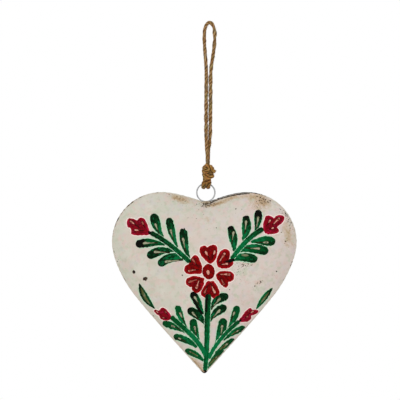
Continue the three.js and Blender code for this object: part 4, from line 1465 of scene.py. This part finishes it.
# Crimson: the four buds
budCrimson = {
    "deep": "#48030E",
    "middle": "#860618",
    "pale": "#B01038",
    "black": "#22060E",
    "seed": 500,
    "tones": (0.25, -0.15, 0.35),
    "paler": 0.05,  # each bud is this much paler than the one before
}
buds = [
    [(126.9, 221.4), (127.6, 219.4), (130.2, 218.2), (133.8, 218.8), (137.2, 220.2), (138.9, 218.1),
     (141.3, 217.5), (144.5, 218.9), (147.0, 223.5), (149.2, 230.0), (149.8, 234.1), (147.5, 235.2),
     (142.0, 235.4), (135.0, 235.3), (131.2, 233.8), (131.2, 230.5), (130.2, 228.2), (127.6, 227.0),
     (126.7, 224.0)],
    [(263.2, 228.7), (263.1, 224.5), (264.3, 219.2), (266.3, 215.8), (269.3, 215.5), (272.6, 216.8),
     (273.7, 218.2), (276.0, 216.1), (280.0, 215.0), (283.7, 216.1), (284.6, 218.0), (282.7, 222.5),
     (279.3, 225.2), (277.0, 227.6), (279.0, 229.9), (278.7, 232.2), (274.6, 233.9), (269.3, 234.4),
     (264.6, 232.9)],
    [(153.8, 310.6), (155.6, 309.4), (158.9, 310.6), (160.9, 307.9), (164.4, 308.0), (168.2, 311.4),
     (171.2, 316.2), (171.2, 318.4), (168.0, 320.4), (163.4, 320.2), (160.4, 318.6), (158.8, 315.8),
     (155.9, 313.8)],
    [(238.6, 321.0), (241.8, 316.4), (245.6, 311.2), (248.2, 308.8), (250.6, 308.0), (253.0, 309.9),
     (256.4, 309.6), (258.3, 310.4), (258.0, 312.4), (255.2, 314.4), (251.2, 315.8), (251.4, 318.4),
     (248.2, 321.4), (244.0, 322.0), (241.0, 322.0)],
]
crimsonParts = [blotPart(points, budCrimson["seed"] + blot["seeds"] * n, *budCrimson["tones"],
                         budCrimson["paler"] * n) for n, points in enumerate(buds)]
paintPiece("painted_buds", crimsonParts, makeBrushed("brushedCrimsonEnamel", budCrimson))

# Thin paint that ran out past the flower and the buds: a pale pink edge
pinkWash = {
    "deep": "#F0D0CA",
    "middle": "#FAE4DC",
    "pale": "#FFF0E8",
    "black": "#C9A39C",
    "roughness": 0.5,
    "gloss": 0.2,
    "tones": (0.0, 0.0, 0.0, 0.2),
    "lift": 0.06,
}
pinkParts = [blotPart(points, seed, *pinkWash["tones"], pinkWash["lift"], grow=stroke["washSpread"])
             for seed, *points in seeded(petals + [eye] + buds, petalRed["seed"], blot["seeds"])]
paintPiece("pink_edges", pinkParts, makeBrushed("thinnedPinkEnamel", pinkWash))
print("flower and buds painted")

# Lights: a tear of cream that runs out to tan and brown on each leaf and petal, inside a thin
# dark outline. Head, tail and width in pixels, then how much of a ring it is and how pale
lights = [
    (155.0, 223.4, 158.6, 232.0, 2.8, 0.5, 0.9), (170.4, 229.4, 173.4, 239.4, 2.6, 0.5, 0.9),
    (182.8, 237.6, 185.3, 250.4, 2.8, 0.5, 0.8), (142.8, 243.2, 156.8, 242.7, 2.9, 0.6, 0.9),
    (153.8, 251.8, 168.6, 252.6, 2.9, 0.5, 0.8), (164.6, 261.8, 183.0, 259.8, 2.9, 0.5, 0.8),
    (233.7, 231.2, 231.9, 243.0, 2.6, 0.3, 0.8), (246.2, 220.4, 245.0, 232.6, 2.8, 0.0, 1.0),
    (258.5, 216.4, 255.8, 231.0, 2.7, 0.0, 0.5), (268.6, 242.4, 256.4, 242.4, 2.5, 0.7, 0.8),
    (260.0, 248.6, 246.0, 248.0, 2.6, 0.2, 0.8), (194.2, 296.2, 199.4, 305.2, 2.7, 0.0, 1.0),
    (191.9, 312.0, 198.8, 319.6, 2.7, 0.4, 0.8), (220.6, 297.8, 212.4, 307.2, 3.0, 0.0, 0.6),
    (220.4, 309.4, 211.6, 319.0, 3.0, 0.0, 0.6), (179.6, 312.4, 185.0, 323.4, 2.4, 0.2, 0.7),
    (194.4, 326.0, 196.2, 335.0, 2.6, 0.8, 0.8), (171.2, 325.4, 180.0, 329.6, 2.3, 0.7, 0.7),
    (178.2, 337.9, 185.0, 341.0, 2.2, 0.1, 0.6), (189.2, 351.3, 195.4, 354.4, 1.6, 0.0, 0.2),
    (234.6, 311.6, 231.2, 320.8, 2.3, 0.1, 0.7), (222.3, 325.0, 220.8, 337.0, 2.8, 0.5, 0.7),
    (238.6, 330.2, 233.6, 333.8, 2.2, 0.3, 0.6), (227.6, 343.4, 221.4, 348.6, 2.3, 0.2, 0.5),
    (217.2, 356.4, 211.2, 362.4, 1.4, 0.0, 0.1),
    (205.2, 251.0, 210.2, 260.4, 2.4, 0.1, 0.8), (215.1, 250.4, 211.6, 260.2, 2.2, 0.0, 0.7),
    (225.1, 252.8, 218.0, 263.8, 2.8, 0.6, 0.5), (228.2, 263.7, 219.0, 264.7, 2.6, 0.2, 0.5),
    (230.4, 274.3, 217.4, 274.4, 3.0, 0.5, 0.4), (224.2, 285.0, 220.2, 277.0, 2.6, 0.7, 0.2),
    (204.2, 293.4, 208.2, 284.6, 2.5, 0.0, -0.1), (215.2, 293.4, 210.0, 282.4, 2.6, 0.2, 0.7),
    (188.2, 282.4, 199.0, 278.7, 2.8, 0.1, 0.0), (196.2, 288.8, 199.8, 278.0, 2.7, 0.6, 0.6),
    (192.0, 258.6, 197.8, 266.2, 2.5, 0.0, 0.0), (188.0, 271.0, 199.6, 269.2, 2.5, 0.5, 0.5),
    (129.8, 220.8, 140.6, 228.4, 2.0, 0.5, 0.6), (141.8, 221.4, 145.4, 228.8, 2.2, 0.3, 0.2),
    (134.4, 230.0, 144.6, 230.7, 2.0, 0.4, 0.6), (270.6, 219.6, 265.8, 227.0, 2.0, 0.1, 0.4),
    (279.6, 217.8, 271.8, 225.8, 2.8, 0.8, 0.6), (273.8, 227.6, 268.4, 229.8, 2.2, 0.1, 0.7),
    (155.8, 310.8, 162.0, 316.0, 1.8, 0.0, 0.2), (165.0, 310.8, 168.4, 316.4, 1.9, 0.7, 0.4),
    (162.2, 317.5, 168.6, 318.9, 1.6, 0.0, 0.1), (253.6, 310.6, 246.6, 315.8, 2.0, 0.0, 0.5),
    (248.2, 315.9, 243.8, 319.2, 1.8, 0.0, 0.2), (248.8, 310.3, 246.2, 313.2, 1.5, 0.0, 0.0),
]
# Thin cream that the paint below shows through: olive on a leaf, pink on a petal. Rows of the list
# from the first petal on are pink.
leafLight = {"deep": "#3E5A38", "middle": "#76785A", "pale": "#A3A488", "black": "#A07C60",
             "streak": (0.6, 1.0, 1.0), "gloss": 0.05}
petalLight = {"deep": "#7C2A22", "middle": "#A85A4C", "pale": "#DC9C8A", "black": "#C8A088",
              "streak": (0.6, 1.0, 1.0), "gloss": 0.05}
leafOutline = {"deep": "#14180A", "middle": "#282A12", "pale": "#5A4A30", "black": "#120C08",
               "streak": (0.6, 1.0, 1.0)}
petalOutline = {"deep": "#2C0404", "middle": "#480805", "pale": "#7A2018", "black": "#120C08",
                "streak": (0.6, 1.0, 1.0)}
light = {
    "firstPetal": 25,
    "seed": 600,
    "lift": 0.34,
    "leafTail": 0.1,  # how brown the tail is
    "petalTail": -0.5,
    "outlineLift": 0.28,
    "outlineWidth": 1.2,  # how much wider the outline is, in pixels
    "outlineDark": 0.3,
    "outlineHead": 0.6,  # how far it goes on past the head
    "leafReach": 1.6,  # how far it goes on past the tail
    "petalReach": 0.0,
    "blotWobble": 0.05,
    "eyeSeed": 590,
    "eyeTones": (0.0, 0.3, 0.0, 0.6),
    "eyeLift": 0.36,
    "eyeOutlineTones": (0.3, 0.0, 0.0, 0.0),
    "eyeOutlineLift": 0.3,
    "eyeGrow": 0.35,
    "bladeSeed": 593,
    "bladeTones": (0.0, 0.4, 0.0, 0.1),
    "chip": (159.3, 234.3, 0.8),  # place and size in pixels of a small pale chip
    "chipSeed": 596,
    "chipTones": (0.1, 0.3, 0.0, 0.1),
    "chipLift": 0.3,
    "chipWobble": 0.03,
}


def lightStrokes(rows, tail, reach):  # the lights of some rows of the list, and their outlines
    over, under = [], []
    for seed, x0, y0, x1, y1, width, ringed, pale in rows:
        head, end = np.array([x0, y0]), np.array([x1, y1])
        middle = (head + end) / 2
        over.append(strokePart([head, middle, end], width, "tear", seed, lightTone,
                               (0.0, ringed, pale, tail), light["lift"]))
        away = (head - end) / math.hypot(x0 - x1, y0 - y1)
        wider = [head + away * light["outlineHead"], middle, end - away * reach]
        under.append(strokePart(wider, width + light["outlineWidth"], "tear", seed, lightTone,
                                (light["outlineDark"], 0.0, 0.0, 0.0), light["outlineLift"]))
    return over, under


lightRows = seeded(lights, light["seed"])
leafOver, leafUnder = lightStrokes(lightRows[:light["firstPetal"]], light["leafTail"], light["leafReach"])
petalOver, petalUnder = lightStrokes(lightRows[light["firstPetal"]:], light["petalTail"],
                                     light["petalReach"])
eyeLight = [(208.0, 269.9), (209.2, 271.1), (209.6, 273.1), (208.9, 274.7), (207.7, 274.5),
            (206.8, 272.8), (206.6, 271.0)]
bladeLight = [(241.2, 255.0), (243.4, 253.9), (246.8, 254.1), (248.8, 255.5), (246.8, 256.5),
              (243.6, 256.2)]
petalOver.append(blotPart(eyeLight, light["eyeSeed"], *light["eyeTones"], light["eyeLift"],
                          light["blotWobble"]))
petalUnder.append(blotPart(eyeLight, light["eyeSeed"], *light["eyeOutlineTones"], light["eyeOutlineLift"],
                           light["blotWobble"], light["eyeGrow"]))
leafOver.append(blotPart(bladeLight, light["bladeSeed"], *light["bladeTones"], light["lift"],
                         light["blotWobble"]))
leafOver.append(blotPart(chipOutline(*light["chip"], light["chipSeed"]), light["chipSeed"],
                         *light["chipTones"], light["chipLift"], light["chipWobble"]))
paintPiece("leaf_lights", leafOver, makeBrushed("thinCreamOverGreenEnamel", leafLight))
paintPiece("leaf_light_outlines", leafUnder, makeBrushed("brushedOliveBlackEnamel", leafOutline))
paintPiece("petal_lights", petalOver, makeBrushed("thinCreamOverRedEnamel", petalLight))
paintPiece("petal_light_outlines", petalUnder, makeBrushed("brushedMaroonEnamel", petalOutline))

# Dark touches: chips through the paint and runs of flux under the ring's foot
rustChip = {
    "deep": "#1E1612",
    "middle": "#4A3124",
    "pale": "#9C8468",
    "black": "#15100D",
    "streak": (1.0, 1.0, 1.0),
    "roughness": 0.7,
    "gloss": 0.15,
    "seed": 700,
    "tones": (0.5, 0.3, 0.0, 0.0),
    "lift": 0.05,
    "wobble": 0.03,
    "runSeed": 760,
    "runTones": (1.0, 0.0, 0.0, -0.3),
    "runLift": 0.12,
}
chips = [  # place and size in pixels of the picture
    (134.0, 271.9, 1.55), (145.2, 278.9, 2.1), (182.3, 275.4, 0.65), (276.5, 271.3, 0.7),
    (235.9, 208.9, 0.6), (216.4, 227.8, 0.4), (229.6, 289.6, 0.45), (254.8, 286.2, 0.6),
    (260.6, 281.8, 0.45), (245.5, 265.5, 0.5), (207.7, 205.5, 0.5), (209.7, 205.0, 0.4),
    (202.4, 205.6, 0.4), (205.3, 206.3, 0.5), (285.4, 213.3, 0.6), (291.3, 222.8, 0.5),
    (281.4, 232.4, 0.45), (153.0, 316.6, 0.6), (259.3, 200.7, 0.5), (257.0, 196.2, 0.5),
    (260.4, 197.4, 0.6), (265.2, 199.4, 0.55), (270.4, 200.8, 0.6), (262.6, 203.4, 0.4),
    (203.4, 203.6, 0.5), (206.6, 203.9, 0.5), (208.6, 203.4, 0.6), (203.0, 206.6, 0.4),
    (206.4, 207.2, 0.35), (256.4, 201.6, 0.35), (261.0, 202.6, 0.3), (258.8, 204.8, 0.35),
    (264.8, 205.8, 0.3), (275.0, 204.8, 0.35), (285.2, 241.4, 0.5), (284.6, 243.2, 0.35),
    (114.2, 252.0, 0.4), (117.6, 261.4, 0.4), (196.6, 204.2, 0.35),
]
chipParts = [blotPart(chipOutline(x, y, size, n), n, *rustChip["tones"], rustChip["lift"], rustChip["wobble"])
             for n, (x, y, size) in enumerate(chips, rustChip["seed"])]
bareRuns = [  # a drip under the ring, two bare edges of the right lobe, and a worn edge near the tip
    ([(205.2, 202.6), (205.5, 203.8), (205.4, 204.6)], 0.6, 1.0),
    ([(209.8, 202.7), (211.6, 201.7), (214.2, 200.4)], 1.7, 0.8),
    ([(209.6, 202.5), (221.8, 197.9), (236.0, 194.7), (250.0, 193.5)], 2.4, 0.4),
    ([(214.0, 364.6), (215.6, 363.0), (217.6, 361.4)], 1.3, 1.0),
]
chipParts += [strokePart(points, width, "stem", seed, lightTone, rustChip["runTones"], rustChip["runLift"],
                         footShare)
              for seed, points, width, footShare in seeded(bareRuns, rustChip["runSeed"])]
paintPiece("rust_chips", chipParts, makeBrushed("rustedPaintChips", rustChip))
print("lights and chips added")


# Studio: a wide pale floor below the hanging heart, white behind it, and soft light from the front
studio = {
    "floorZ": -600.0,
    "floorHalf": 3000.0,
    "floorBack": 2400.0,
    "floor": "#EFEDEA",
    "floorGlow": 0.12,
    "worldLight": 0.74,
    "keyEnergy": 9.0,
    "keySize": 1.6,
    "keyPlace": (-0.9, -1.7, 0.75),
    "fillEnergy": 4.0,
    "fillPlace": (1.3, -1.5, -0.1),
    "aim": (0.0, 0.0, -0.16),
}


def makeFloor():  # matt paper sweep that reads as white to the camera but still takes a shadow
    material, tree = newMaterial("mattPaperSweep")
    rays = addNode(tree, "ShaderNodeLightPath").outputs
    paper = addNode(tree, "ShaderNodeBsdfDiffuse", None, {"Color": linearColour(studio["floor"])})
    glow = addNode(tree, "ShaderNodeEmission", None,
                   {"Color": (1, 1, 1, 1), "Strength": studio["floorGlow"]})
    seen = addNode(tree, "ShaderNodeMath", {"operation": "MAXIMUM"},
                   {0: rays["Is Camera Ray"], 1: rays["Is Glossy Ray"]}).outputs[0]
    none = addNode(tree, "ShaderNodeEmission", None, {"Strength": 0.0})
    lit = addNode(tree, "ShaderNodeMixShader", None, {0: seen, 1: none.outputs[0], 2: glow.outputs[0]})
    total = addNode(tree, "ShaderNodeAddShader", None, {0: paper.outputs[0], 1: lit.outputs[0]})
    addNode(tree, "ShaderNodeOutputMaterial", None, {"Surface": total.outputs[0]})
    half, back, z = studio["floorHalf"] * mm, studio["floorBack"] * mm, studio["floorZ"] * mm
    mesh = bpy.data.meshes.new("floor")
    corners = [(-half, -half, z), (half, -half, z), (half, back, z), (-half, back, z)]
    mesh.from_pydata(corners, [], [(0, 1, 2, 3)])
    mesh.materials.append(material)
    floor = bpy.data.objects.new("floor", mesh)
    scene.collection.objects.link(floor)


def makeWorld():
    world = bpy.data.worlds.new("studioWorld")
    world.use_nodes = True
    tree = world.node_tree
    tree.nodes.clear()
    rays = addNode(tree, "ShaderNodeLightPath").outputs
    first = addNode(tree, "ShaderNodeMath", {"operation": "MAXIMUM"},
                    {0: rays["Is Camera Ray"], 1: rays["Is Glossy Ray"]}).outputs[0]
    seen = addNode(tree, "ShaderNodeMath", {"operation": "MAXIMUM"},
                   {0: first, 1: rays["Is Transmission Ray"]}).outputs[0]
    level = addNode(tree, "ShaderNodeMapRange", None, {0: seen, 3: studio["worldLight"], 4: 1.0}).outputs[0]
    background = addNode(tree, "ShaderNodeBackground", None, {"Color": (1, 1, 1, 1), "Strength": level})
    addNode(tree, "ShaderNodeOutputWorld", None, {"Surface": background.outputs[0]})
    scene.world = world


def softLamp(name, place, energy, size):  # square area lamp aimed at the heart's middle
    data = bpy.data.lights.new(name, "AREA")
    data.energy = energy
    data.size = size
    lamp = bpy.data.objects.new(name, data)
    x, y, z = np.array(studio["aim"]) - np.array(place)
    lamp.location = place
    lamp.rotation_euler = (math.acos(-z / math.hypot(x, y, z)), 0, math.atan2(y, x) - math.pi / 2)
    scene.collection.objects.link(lamp)


makeFloor()
makeWorld()
softLamp("keyLamp", studio["keyPlace"], studio["keyEnergy"], studio["keySize"])
softLamp("fillLamp", studio["fillPlace"], studio["fillEnergy"], studio["keySize"])
print("studio lit")
